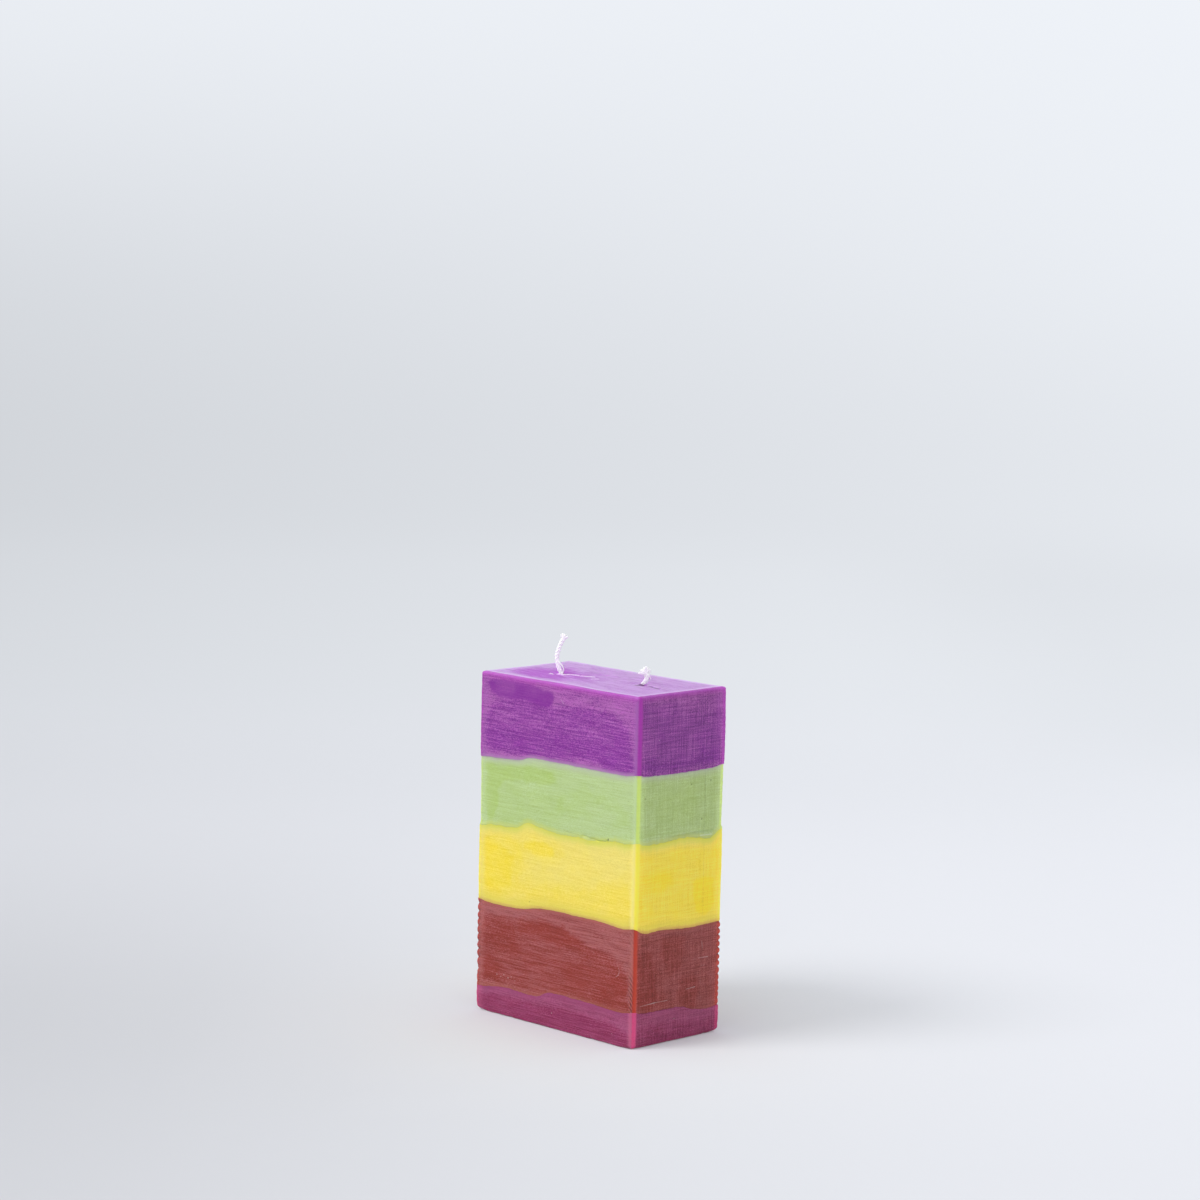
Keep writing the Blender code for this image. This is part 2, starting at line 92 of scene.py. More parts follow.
class CandleShape(bpy.types.PropertyGroup):
    """Sizes of the block and of its wicks."""

    width: length("Width", "Length of the wide faces", BLOCK_HIGH.x - BLOCK_LOW.x)
    depth: length("Depth", "Length of the narrow faces", BLOCK_HIGH.y - BLOCK_LOW.y)
    height: length("Height", "Height of the wax", TOP_HEIGHT)
    corner_radius: length("Corner radius", "Round of the front right edge", 1.7 * MM)
    other_radius: length("Other corner radius", "Round of the other three vertical edges", 0.8 * MM)
    top_round: length("Top round", "Round of the upper edge", 1.0 * MM)
    seam_round: length("Seam round", "Round of a pour's edge where it meets the next", 0.1 * MM)
    plum_level: length("Plum level", "Mean height of the plum pour's surface", 12.2 * MM)
    red_level: length("Red level", "Mean height of the red pour's surface", 45.6 * MM)
    yellow_level: length("Yellow level", "Mean height of the yellow pour's surface", 79.5 * MM)
    green_level: length("Green level", "Mean height of the green pour's surface", 107.2 * MM)
    wick_width: length("Wick width", "Width of the flat braid", 1.8 * MM)
    wick_thickness: length("Wick thickness", "Thickness of the flat braid", 1.35 * MM)
    braid_pitch: length("Braid pitch", "Length in which a strand comes back to its place", 4.4 * MM)


class CandleColours(bpy.types.PropertyGroup):
    """Each wax has a deep colour, a paler bloom over it, and a clearer colour at its edges, made
    brighter there as painted light; the purple also has a lit copy for its top.
    """

    purple_deep: colour("Purple", "Purple wax, clear of bloom", (0.245, 0.020, 0.315))
    purple_bloom: colour("Purple bloom", "Bloom on the purple wax", (0.415, 0.118, 0.412))
    purple_edge: colour("Purple edge", "Edges of the purple wax", (0.450, 0.032, 0.440))
    # The top's colours are a lit copy of the purple: painted light for the lamp and sheen on the
    # top
    purple_top_deep: colour(
        "Purple top", "Top of the purple wax, clear of bloom", (0.430, 0.070, 0.560)
    )
    purple_top_bloom: colour("Purple top bloom", "Bloom on the top", (0.530, 0.250, 0.650))
    green_deep: colour("Green", "Green wax, clear of bloom", (0.425, 0.580, 0.148))
    green_bloom: colour("Green bloom", "Bloom on the green wax", (0.490, 0.620, 0.300))
    green_edge: colour("Green edge", "Edges of the green wax", (0.680, 0.840, 0.190))
    yellow_deep: colour("Yellow", "Yellow wax, clear of bloom", (0.930, 0.715, 0.020))
    yellow_bloom: colour("Yellow bloom", "Bloom on the yellow wax", (0.860, 0.725, 0.180))
    yellow_edge: colour("Yellow edge", "Edges of the yellow wax", (0.980, 0.835, 0.075))
    red_deep: colour("Red", "Red wax, clear of bloom", (0.280, 0.022, 0.011))
    red_bloom: colour("Red bloom", "Bloom on the red wax", (0.385, 0.108, 0.112))
    red_edge: colour("Red edge", "Edges of the red wax", (0.550, 0.044, 0.014))
    plum_deep: colour("Plum", "Plum wax, clear of bloom", (0.262, 0.010, 0.082))
    plum_bloom: colour("Plum bloom", "Bloom on the plum wax", (0.350, 0.070, 0.172))
    plum_edge: colour("Plum edge", "Edges of the plum wax", (0.760, 0.075, 0.245))
    cotton: colour("Cotton", "Yarn of the wicks", (0.970, 0.960, 0.970))
    metal: colour("Tab metal", "Tinplate of the wick tabs", (0.620, 0.620, 0.600))


class CandleStudio(bpy.types.PropertyGroup):
    """The floor, the lamps and the camera."""

    paper: colour("Paper", "Tint of the floor and backdrop", (0.965, 1.000, 1.055), most=1.2)
    near_paper: colour(
        "Near paper", "Tint of the floor where the lamps light it", (1.085, 1.085, 1.130), most=1.2
    )
    sky: amount("Sky", "Strength of the even light", 0.76)
    key: amount("Key", "Power of the soft key lamp in watts", 13.5)
    azimuth: angle("Azimuth", "Turn of the camera round the candle", 45.525)
    elevation: angle("Elevation", "Height of the camera over the horizon", 7.019)
    roll: angle("Roll", "Tilt of the camera about its own axis", 1.187)
    camera_place: FloatVectorProperty(
        name="Camera place", description="Where the camera stands", size=3, subtype="TRANSLATION",
        default=(1.00114, -0.98532, 0.34467),
    )
    lens: amount("Lens", "Focal length in mm on a 36 mm frame", 106.07)


def plane_waves(x, y, z, wavelength, seed, count=14):
    """Smooth wandering between about -1 and 1: a sum of plane waves in random directions.

    Each wave is the sine of a random direction times the place, plus a random phase, and
    its length lies between 0.7 and 1.4 of the wavelength.
    """
    random = np.random.default_rng(seed)
    total = np.zeros(np.broadcast(x, y, z).shape)
    for _ in range(count):
        direction = random.normal(size=3)
        direction /= np.linalg.norm(direction)
        number = 2 * math.pi / (wavelength * random.uniform(0.7, 1.4))
        phase = random.uniform(0, 2 * math.pi)
        total += np.sin(number * (direction[0] * x + direction[1] * y + direction[2] * z) + phase)
    return total / math.sqrt(count)


def ease(value):
    """A smooth step from 0 to 1: three times the square less twice the cube."""
    value = np.clip(value, 0.0, 1.0)
    return value * value * (3 - 2 * value)


def window(value, low, high, soft):
    """1 between low and high and 0 outside, with edges eased over a soft width."""
    return ease((value - low) / soft + 0.5) * ease((high - value) / soft + 0.5)


def bell(value, centre, reach):
    """A bell curve of height 1: e to the minus square of the distance over the reach."""
    return np.exp(-((value - centre) / reach) ** 2)


def waves(x, y, z, *rows):
    """A sum of plane waves: each row gives their amount, wavelength in millimetres and seed."""
    return sum(most * plane_waves(x, y, z, size * MM, seed) for most, size, seed in rows)


def catmull_rom(a, b, c, d, t):
    """The cubic from b, where t is 0, to c, where it is 1; a comes before b and d after c."""
    cubic = (2 * a - 5 * b + 4 * c - d) * t ** 2 + (3 * b - a - 3 * c + d) * t ** 3
    return 0.5 * (2 * b + (c - a) * t + cubic)


def segment_distance(x, y, start, end):
    """Distance from points to a straight stretch, and the share of the stretch reached."""
    run_x = end[0] - start[0]
    run_y = end[1] - start[1]
    reached = ((x - start[0]) * run_x + (y - start[1]) * run_y) / (run_x ** 2 + run_y ** 2)
    held = np.clip(reached, 0.0, 1.0)
    return np.hypot(x - start[0] - held * run_x, y - start[1] - held * run_y), reached


def grid_faces(rows, columns, closed=True):
    """The faces of a grid of points: a point, the next in its row, and the two over them.

    The rows of a closed grid are rings, in which the first point comes after the last.
    """
    here = np.arange(rows * columns).reshape(rows, columns)
    after = np.roll(here, -1, axis=1)
    if not closed:
        here, after = here[:, :-1], after[:, :-1]
    return np.stack((here[:-1], after[:-1], after[1:], here[1:]), axis=-1).reshape(-1, 4)


def new_object(name, points, faces, attributes):
    """An object whose mesh has a number for each point under each attribute's name."""
    data = bpy.data.meshes.new(name)
    data.from_pydata(points, [], faces)
    for key, values in attributes.items():
        layer = data.attributes.new(key, "FLOAT", "POINT")
        layer.data.foreach_set("value", values.astype(np.float32).ravel())
    data.shade_smooth()
    piece = bpy.data.objects.new(name, data)
    bpy.context.scene.collection.objects.link(piece)
    return piece


def reworked(piece, work):
    """Gives an object's mesh to a function as a bmesh, and takes it back."""
    mesh = bmesh.new()
    mesh.from_mesh(piece.data)
    work(mesh)
    mesh.to_mesh(piece.data)
    mesh.free()
    return piece


class SetSurface:
    """The surface in which a pour set: a level, a shoulder, a fall, swells at the walls.

    A swell is its rise, the two walls it is placed from and how far from each, and how
    far it reaches along x and y.
    """

    def __init__(
        self, shape, level, shoulder=0.0, from_left=0.0, run=1.0, fall=0.0, swells=(), ragged=0.0
    ):
        self.shape = shape
        self.level = level
        self.shoulder = shoulder * MM
        self.shoulder_x = from_left * MM - shape.width / 2
        self.run = run * MM
        self.fall = fall
        self.swells = swells
        self.ragged = ragged * MM

    def height(self, x, y):
        """Level, plus half the shoulder times a hyperbolic tangent of x, plus each swell's bell."""
        rise = 0.5 * self.shoulder * np.tanh((x - self.shoulder_x) / self.run)
        z = self.level + rise - self.fall * y
        for swell, side, from_side, wall, from_wall, reach_x, reach_y in self.swells:
            centre_x = side * (self.shape.width / 2 - from_side * MM)
            centre_y = wall * (self.shape.depth / 2 - from_wall * MM)
            z = z + swell * MM * bell(x, centre_x, reach_x * MM) * bell(y, centre_y, reach_y * MM)
        if self.ragged:
            z = z + self.ragged * plane_waves(x, y, 0.0, 5 * MM, seed=3)
            z = z + 0.5 * self.ragged * plane_waves(x, y, 0.0, 2 * MM, seed=4)
        return z


LEFT = -1
RIGHT = 1
FRONT = -1
BACK = 1


def set_surfaces(shape):
    """The surfaces between the pours, in the places where the frame's solids have them."""
    plum = SetSurface(
        shape, shape.plum_level, shoulder=3.2, from_left=39.0, run=2.5, fall=0.03, ragged=0.12,
        swells=(
            (0.5, LEFT, 18.0, FRONT, 0.0, 6.0, 12.0),
            (-0.8, LEFT, 4.0, FRONT, 0.0, 5.0, 12.0),
            (-0.5, LEFT, 0.0, FRONT, 0.0, 10.0, 14.0),
            (-0.7, RIGHT, 8.0, FRONT, 0.0, 12.0, 14.0),
            (-0.4, RIGHT, 0.0, FRONT, 10.0, 14.0, 8.0),
            (0.7, RIGHT, 0.0, FRONT, 0.0, 3.5, 4.0),
            (-3.0, RIGHT, 0.0, BACK, 7.5, 20.0, 13.0),
            (0.5, RIGHT, 0.0, BACK, 21.0, 16.0, 3.5),
        ),
    )
    red = SetSurface(
        shape, shape.red_level, shoulder=2.0, from_left=30.0, run=6.0, fall=0.03, ragged=0.08,
        swells=(
            (0.9, LEFT, 47.0, FRONT, 0.0, 16.0, 10.0),
            (1.0, LEFT, 0.0, FRONT, 0.0, 4.0, 4.0),
            (0.9, RIGHT, 20.0, FRONT, 0.0, 12.0, 10.0),
            (1.2, RIGHT, 0.0, FRONT, 0.0, 4.0, 4.0),
            (-1.3, RIGHT, 0.0, FRONT, 7.0, 10.0, 6.0),
            (-1.6, RIGHT, 0.0, BACK, 18.5, 20.0, 18.0),
        ),
    )
    yellow = SetSurface(
        shape, shape.yellow_level, shoulder=2.6, from_left=25.0, run=4.0, ragged=0.2,
        swells=(
            (-1.3, LEFT, 0.0, FRONT, 0.0, 7.0, 14.0),
            (1.3, LEFT, 29.0, FRONT, 0.0, 4.0, 9.0),
            (-0.5, LEFT, 47.0, FRONT, 0.0, 8.0, 10.0),
            (-1.1, RIGHT, 33.0, FRONT, 0.0, 14.0, 12.0),
            (0.8, RIGHT, 33.0, FRONT, 0.0, 4.0, 10.0),
            (0.9, RIGHT, 11.0, FRONT, 0.0, 5.5, 8.0),
            (1.2, RIGHT, 0.0, FRONT, 0.0, 4.0, 4.0),
            (0.7, RIGHT, 0.0, BACK, 22.0, 12.0, 10.0),
            (-0.6, RIGHT, 0.0, BACK, 11.5, 14.0, 5.0),
            (-1.0, RIGHT, 0.0, BACK, 7.5, 12.0, 3.5),
            (2.1, RIGHT, 0.0, BACK, 0.0, 4.0, 4.0),
        ),
    )
    green = SetSurface(
        shape, shape.green_level, shoulder=2.1, from_left=26.0, run=3.0, ragged=0.08,
        swells=(
            (-0.7, LEFT, 8.0, FRONT, 0.0, 8.0, 12.0),
            (-0.7, LEFT, 0.0, FRONT, 0.0, 4.0, 10.0),
            (0.8, RIGHT, 0.0, FRONT, 0.0, 4.0, 4.0),
            (-0.5, RIGHT, 0.0, BACK, 20.0, 14.0, 20.0),
            (0.9, RIGHT, 0.0, BACK, 0.0, 4.0, 4.0),
        ),
    )
    return {
        "base": SetSurface(shape, 0.0),
        "plum": plum,
        "red": red,
        "yellow": yellow,
        "green": green,
        "top": SetSurface(shape, shape.height),
    }


@dataclass
class Patch:
    """Thicker or thinner bloom inside a smooth closed line on one wall.

    The line is drawn through points of millimetres from the wall's left edge and under
    the top. The amount is added inside it, and the soft width is how wide its edge fades.
    """

    wall: str
    amount: float
    soft: float
    line: tuple
    polish: float = 0.0

    def share(self, from_left, depth_mm):
        """1 well inside the line and 0 well outside: an ease of the signed distance to it."""
        line = closed_curve(self.line)
        nearest = np.full(from_left.shape, np.inf)
        inside = np.zeros(from_left.shape, dtype=bool)
        for (x0, z0), (x1, z1) in zip(line, np.roll(line, -1, axis=0)):
            away, _ = segment_distance(from_left, depth_mm, (x0, z0), (x1, z1))
            nearest = np.minimum(nearest, away)
            if z0 != z1:
                crossing = x0 + (depth_mm - z0) * (x1 - x0) / (z1 - z0)
                inside ^= ((z0 > depth_mm) != (z1 > depth_mm)) & (from_left < crossing)
        return ease(0.5 + np.where(inside, nearest, -nearest) / self.soft)


def closed_curve(points, per_span=4):
    """A closed Catmull-Rom curve through points, with a few steps from each to the next."""
    points = np.array(points, dtype=float)
    a, b, c, d = (np.roll(points, shift, axis=0)[:, None, :] for shift in (1, 0, -1, -2))
    t = (np.arange(per_span) / per_span)[None, :, None]
    return catmull_rom(a, b, c, d, t).reshape(-1, 2)


@dataclass
class Pour:
    """One colour of wax, and how it differs from the others.

    It lies between its foot's and its head's surface and is drawn in there by the insets.
    Its relief is the depth of its edges' notches, and its swell how far it stands proud at
    each vertical edge, in millimetres. The grit is how strongly its bloom is streaked. The
    painted side shading is multiplied in on the narrow walls: painted shade on the plum, red and
    purple, painted light on the yellow and a little on the green. The lip is the colour of thick
    bloom.
    """

    name: str
    foot: str
    head: str
    foot_inset: float
    head_inset: float
    edge_relief: float
    swell: tuple
    grit: float
    painted_side_shading: tuple
    lip: tuple
    patches: tuple


PURPLE_PATCHES = (
    Patch("front", -0.5, 3.5, (
        (5, 13), (12, 9.8), (25, 9.4), (36, 9.2), (45, 9.4), (55, 8.6), (66, 8.2), (76, 9),
        (83, 12), (86, 18), (87.6, 24), (88, 28.8), (85.5, 31.0), (75, 30.8), (60, 30.6),
        (45, 30.8), (33, 31.0), (25, 31.2), (15, 31.6), (6, 31.6), (2.6, 30.4), (2.8, 26),
        (3.2, 20), (3.8, 16),
    )),
    Patch("front", -0.16, 7.0, (
        (4, 24), (20, 24), (40, 22), (60, 20), (80, 17), (86.5, 23), (87.3, 28.4), (80, 29.2),
        (60, 28.8), (40, 29), (26, 30), (10, 31), (4, 30),
    )),
    Patch("front", -0.72, 1.9, (
        (4.5, 4), (8, 2.0), (16, 1.7), (24, 2.0), (31, 2.6), (38, 3.6), (42.5, 5.2), (43.4, 7.2),
        (41, 9.4), (35, 9.9), (29, 9.2), (23, 9.2), (17, 9.2), (11, 9.0), (7, 7.8), (5, 6),
    ), polish=0.8),
    Patch("front", 0.18, 3.5, (
        (9.5, 3.2), (14, 2.4), (19, 3), (20, 5.2), (17, 7.2), (12, 7), (9.5, 5.4),
    )),
    Patch("front", 0.08, 3.0, (
        (8, 2.4), (20, 2.2), (32, 3.2), (40, 5), (32, 5.4), (20, 4.4), (8, 4.2),
    )),
    Patch("front", 0.08, 6.0, (
        (12, 13), (30, 13), (50, 15), (55, 19), (35, 20), (15, 19), (8, 16),
    )),
    Patch("side", -0.36, 3.5, (
        (2.2, 4), (10, 3.5), (25, 3.5), (40, 3), (46.5, 3), (47, 15), (46.5, 28), (35, 29.6),
        (20, 30.2), (8, 30.2), (2.4, 29.2), (2, 15),
    )),
    Patch("side", -0.25, 1.5, (
        (1, 27.6), (15, 27.8), (30, 28.0), (46, 27.4), (46, 33), (30, 33.4), (15, 33.4), (1, 33),
    )),
    Patch("front", 0.45, 2.5, (
        (56, 28.8), (63, 28.6), (70, 29.2), (70, 31.6), (63, 32), (56, 31.8),
    )),
    Patch("side", -0.24, 5.0, (
        (33, 17), (39, 15.5), (44, 16), (45.5, 22), (44, 28), (38, 29), (34, 26),
    )),
    Patch("side", -0.16, 4.0, (
        (3, 25), (15, 24), (30, 24.5), (46, 24), (46, 28), (30, 29.6), (15, 30), (3, 29.5),
    )),
    Patch("side", 0.22, 4.0, ((22, 0), (34, 0), (47, 0), (46, 6), (40, 9), (30, 8), (23, 5))),
    Patch("side", -0.08, 5.0, ((12, 10), (22, 8), (28, 14), (26, 22), (16, 24), (11, 17))),
)
GREEN_PATCHES = (
    Patch("front", -0.5, 2.2, (
        (2.8, 37.2), (8, 36.2), (20, 35.6), (32, 35.5), (40, 36.0), (44.5, 37.6), (43, 40.2),
        (36, 41.6), (26, 41.8), (16, 42.5), (11, 46), (10, 52), (9, 59), (4.5, 60.5), (3.2, 52),
        (3.2, 42),
    )),
    Patch("front", -0.18, 5.0, (
        (10, 46), (20, 43.5), (35, 43), (45, 44), (50, 48), (47, 55), (38, 60), (20, 61), (10, 60),
    )),
    Patch("front", -0.25, 4.0, (
        (48, 44), (56, 42), (64, 41), (75, 42.5), (84, 45), (86, 49), (84, 52), (76, 52.5),
        (66, 51), (58, 52), (50, 52), (46, 48),
    )),
    Patch("front", 0.22, 5.0, ((63, 46), (72, 44.5), (80, 47), (79, 52), (70, 53), (64, 50))),
    Patch("side", -0.36, 3.0, (
        (2.5, 34), (12, 33.5), (25, 33.8), (38, 33.4), (46, 32.5), (46.8, 45), (46, 56), (35, 57.2),
        (20, 56.8), (8, 57), (2.5, 56.5), (2.2, 45),
    )),
    Patch("side", -0.14, 8.0, ((14, 40), (25, 38), (34, 42), (33, 51), (22, 53), (14, 48))),
)
YELLOW_PATCHES = (
    Patch("front", -0.3, 6.0, (
        (2, 64), (12, 63), (22, 66), (27, 72), (26, 80), (24, 88), (14, 93), (3, 92), (1.5, 80),
    )),
    Patch("front", -0.3, 4.0, (
        (3.5, 70), (10, 69), (17, 71), (20, 78), (17, 86), (8, 89), (3.5, 84),
    )),
    Patch("front", -0.36, 2.6, (
        (27, 66.4), (33, 65.0), (39, 65.6), (44.5, 67.6), (44, 70.2), (38, 70.6), (31, 70.4),
        (27, 69.4),
    )),
    Patch("front", -0.3, 6.0, (
        (26, 84), (40, 82), (60, 80), (74, 76), (86, 74), (88.5, 80), (88.5, 91), (70, 91.6),
        (50, 91.2), (34, 91), (26, 92),
    )),
    Patch("front", -0.14, 5.0, ((16, 62), (30, 60.5), (48, 62), (48, 72), (30, 73), (17, 72))),
    Patch("front", -0.1, 5.0, ((74, 80), (82, 78), (88, 80), (88.5, 86), (84, 90), (76, 88))),
    Patch("front", 0.18, 4.0, ((64, 61), (76, 60), (88, 59.5), (88.5, 68), (78, 68.5), (66, 67))),
    Patch("side", -0.5, 3.0, (
        (2, 61), (15, 60.5), (35, 61.5), (47, 60), (47.4, 75), (47, 92), (35, 94), (18, 93.4),
        (2, 91.5), (1.8, 75),
    )),
    Patch("side", -0.4, 1.8, (
        (33.5, 78), (38, 76), (43, 77), (44.3, 83), (43, 89.5), (38, 91), (34, 88),
    )),
    Patch("side", -0.2, 5.0, ((5, 72), (12, 70.5), (20, 71), (21, 76), (12, 79), (6, 78))),
    Patch("side", 0.02, 4.0, (
        (2, 61), (14, 60.5), (30, 61.5), (44, 61), (44, 67), (30, 68), (16, 68.5), (4, 68),
    )),
)
RED_PATCHES = (
    Patch("front", -0.54, 3.0, (
        (4, 101), (10, 99.0), (22, 98.8), (28, 97.8), (38, 96.8), (50, 97.8), (60, 100.6),
        (66, 102.6), (74, 103.6), (82, 106), (86.5, 111), (88, 118), (88, 128), (70, 127),
        (52, 126.4), (44, 126.4), (40, 127), (30, 127), (20, 127), (12, 127), (4, 127), (2.8, 120),
        (2.8, 110),
    )),
    Patch("front", -0.24, 2.5, (
        (26, 100), (34, 98.8), (48, 98.8), (58, 100.6), (61, 102.4), (55, 104.8), (44, 105),
        (34, 104.2), (27, 104.6), (24, 102),
    )),
    Patch("front", 0.16, 3.0, (
        (24, 106), (40, 106.4), (60, 106), (72, 108), (84, 112), (78, 113), (60, 110.6),
        (40, 110.4), (24, 109.6),
    )),
    Patch("front", 0.1, 3.5, ((15, 114), (22, 112.4), (28, 115), (28, 120), (22, 123), (16, 121))),
    Patch("front", -0.24, 3.0, ((4, 118), (9, 117), (13, 120), (13.5, 126), (6, 127), (3.5, 124))),
    Patch("front", -0.16, 4.0, (
        (60, 104), (70, 105), (80, 108), (87, 113), (86, 119), (76, 116), (66, 112), (60, 109),
    )),
    Patch("front", -0.14, 6.0, (
        (52, 113), (66, 111), (80, 113), (87, 118), (86, 124), (66, 124), (54, 121),
    )),
    Patch("front", 0.22, 2.0, (
        (3, 95.6), (14, 95.4), (28, 95.0), (30, 97.0), (14, 98.0), (3, 98.6),
    )),
    Patch("front", -0.14, 4.0, ((8, 103), (13, 101), (21, 101), (24, 108), (18, 113), (9, 112))),
    Patch("front", 0.05, 2.0, (
        (13, 124.4), (22, 123.4), (32, 125), (39, 126), (37, 127.6), (28, 128), (18, 127),
        (13, 126.6),
    )),
    Patch("side", -0.26, 3.0, (
        (2.3, 96), (14, 97.5), (30, 98), (46.8, 97), (47.2, 112), (46.8, 127), (35, 127.6),
        (20, 125.4), (2.3, 124.6), (2, 110),
    )),
    Patch("side", -0.42, 4.0, (
        (3, 105), (8, 102), (13, 106), (13.5, 115), (12, 123), (6, 125), (3, 119),
    )),
    Patch("side", -0.2, 4.0, ((3, 119), (12, 118), (19, 121), (19, 127), (10, 128), (3, 127))),
    Patch("side", -0.3, 4.0, (
        (17, 98), (23, 96.5), (28.5, 100), (27.5, 110), (20, 113), (16.5, 106),
    )),
    Patch("side", -0.3, 3.0, (
        (27, 116.5), (32, 114.6), (36.5, 118), (36, 127), (31, 129), (27.5, 125),
    )),
    Patch("side", 0.14, 5.0, ((29, 96), (38, 95.5), (46, 97), (46, 106), (39, 112), (31, 107))),
    Patch("side", 0.18, 5.0, (
        (37, 114), (42, 112), (47, 114), (47, 122), (46, 128), (38, 128), (36, 121),
    )),
    Patch("side", 0.12, 4.0, ((19, 113), (25, 111.5), (28, 115), (26, 121), (20, 121.5))),
)
PLUM_PATCHES = (
    Patch("front", -0.6, 3.0, (
        (1.5, 133.5), (10, 131.8), (25, 131.6), (40, 131.8), (50, 130.4), (65, 130.8), (80, 131.8),
        (88.6, 133.5), (89, 138), (88, 142), (45, 143), (2, 142), (1.2, 138),
    )),
    Patch("side", -0.45, 3.0, (
        (1.8, 132.6), (15, 132), (30, 133), (47.4, 134.6), (47.4, 140), (25, 142), (1.8, 141),
    )),
)

POURS = (
    Pour(
        "plum", "base", "plum", 0.30, 0.15, 0.12, (0.0, 0.30, 0.62, 0.40), 1.3,
        (1.00, 0.93, 0.92), (0.540, 0.125, 0.250), PLUM_PATCHES,
    ),
    Pour(
        "red", "plum", "red", 0.30, 0.20, 0.90, (0.0, 0.52, 0.62, 0.50), 1.35,
        (0.89, 0.74, 0.69), (0.475, 0.140, 0.128), RED_PATCHES,
    ),
    Pour(
        "yellow", "red", "yellow", 0.12, 0.10, 0.05, (0.0, 0.25, 0.30, 0.30), 0.55,
        (1.10, 1.05, 0.90), (0.890, 0.780, 0.240), YELLOW_PATCHES,
    ),
    Pour(
        "green", "yellow", "green", 0.62, 0.25, 0.14, (0.0, 0.20, 0.40, 0.30), 0.60,
        (1.02, 0.99, 1.06), (0.545, 0.685, 0.350), GREEN_PATCHES,
    ),
    Pour(
        "purple", "green", "top", 0.16, 0.15, 0.10, (0.0, 0.30, 0.62, 0.40), 1.4,
        (0.90, 0.84, 0.88), (0.385, 0.122, 0.435), PURPLE_PATCHES,
    ),
)

# Painted glow for light through the wax, below 0 painted shade: the edge it is beside, millimetres
# past it, reach, amount
PAINTED_GLOWS = {
    "plum": ((0, -0.2, 1.0, 0.05), (0, 3.2, 1.5, 0.08), (2, 1.2, 2.0, 0.12), (1, -1.6, 1.6, 0.14)),
    "red": ((0, -0.2, 1.0, 0.07), (0, 3.2, 1.7, 0.2), (2, 1.2, 2.4, 0.34), (1, -2.6, 2.6, 0.05)),
    "yellow": ((0, 0.6, 2.4, 0.11), (0, 4.5, 2.0, 0.05), (2, 1.5, 2.6, 0.1)),
    "green": ((0, -0.2, 1.0, 0.06), (0, 3.6, 1.8, 0.2), (2, 1.4, 2.3, 0.28), (1, -2.5, 2.5, 0.03)),
    "purple": (
        (0, -0.2, 1.0, 0.05), (0, 2.6, 0.8, -0.18), (0, 4.2, 1.5, 0.08), (2, 1.2, 3.0, 0.3),
        (1, -2.0, 2.0, 0.04),
    ),
}

# Painted glow in the same way over the whole of the narrow walls
NARROW_PAINTED_GLOW = {"yellow": 0.05}

# How fine the grid of a pour is, and how far its seam and top rows lie out from the middle line
WALL_PITCH = 0.66 * MM
NEAR_EDGE = 4.0 * MM
LEAST_RADIUS = 0.15 * MM
NEAR_COLUMNS = 14
ROW_PITCH = 0.45 * MM
CORNER_COLUMNS = 14
ROUND_ROWS = 5
SEAM_SHARES = (0.96, 0.8, 0.6, 0.4, 0.2, 0.0)
TOP_RINGS = 78

# The walls, by quarter turns from the one that looks along +X
WALLS = {"side": 0, "back": 1, "left": 2, "front": 3}


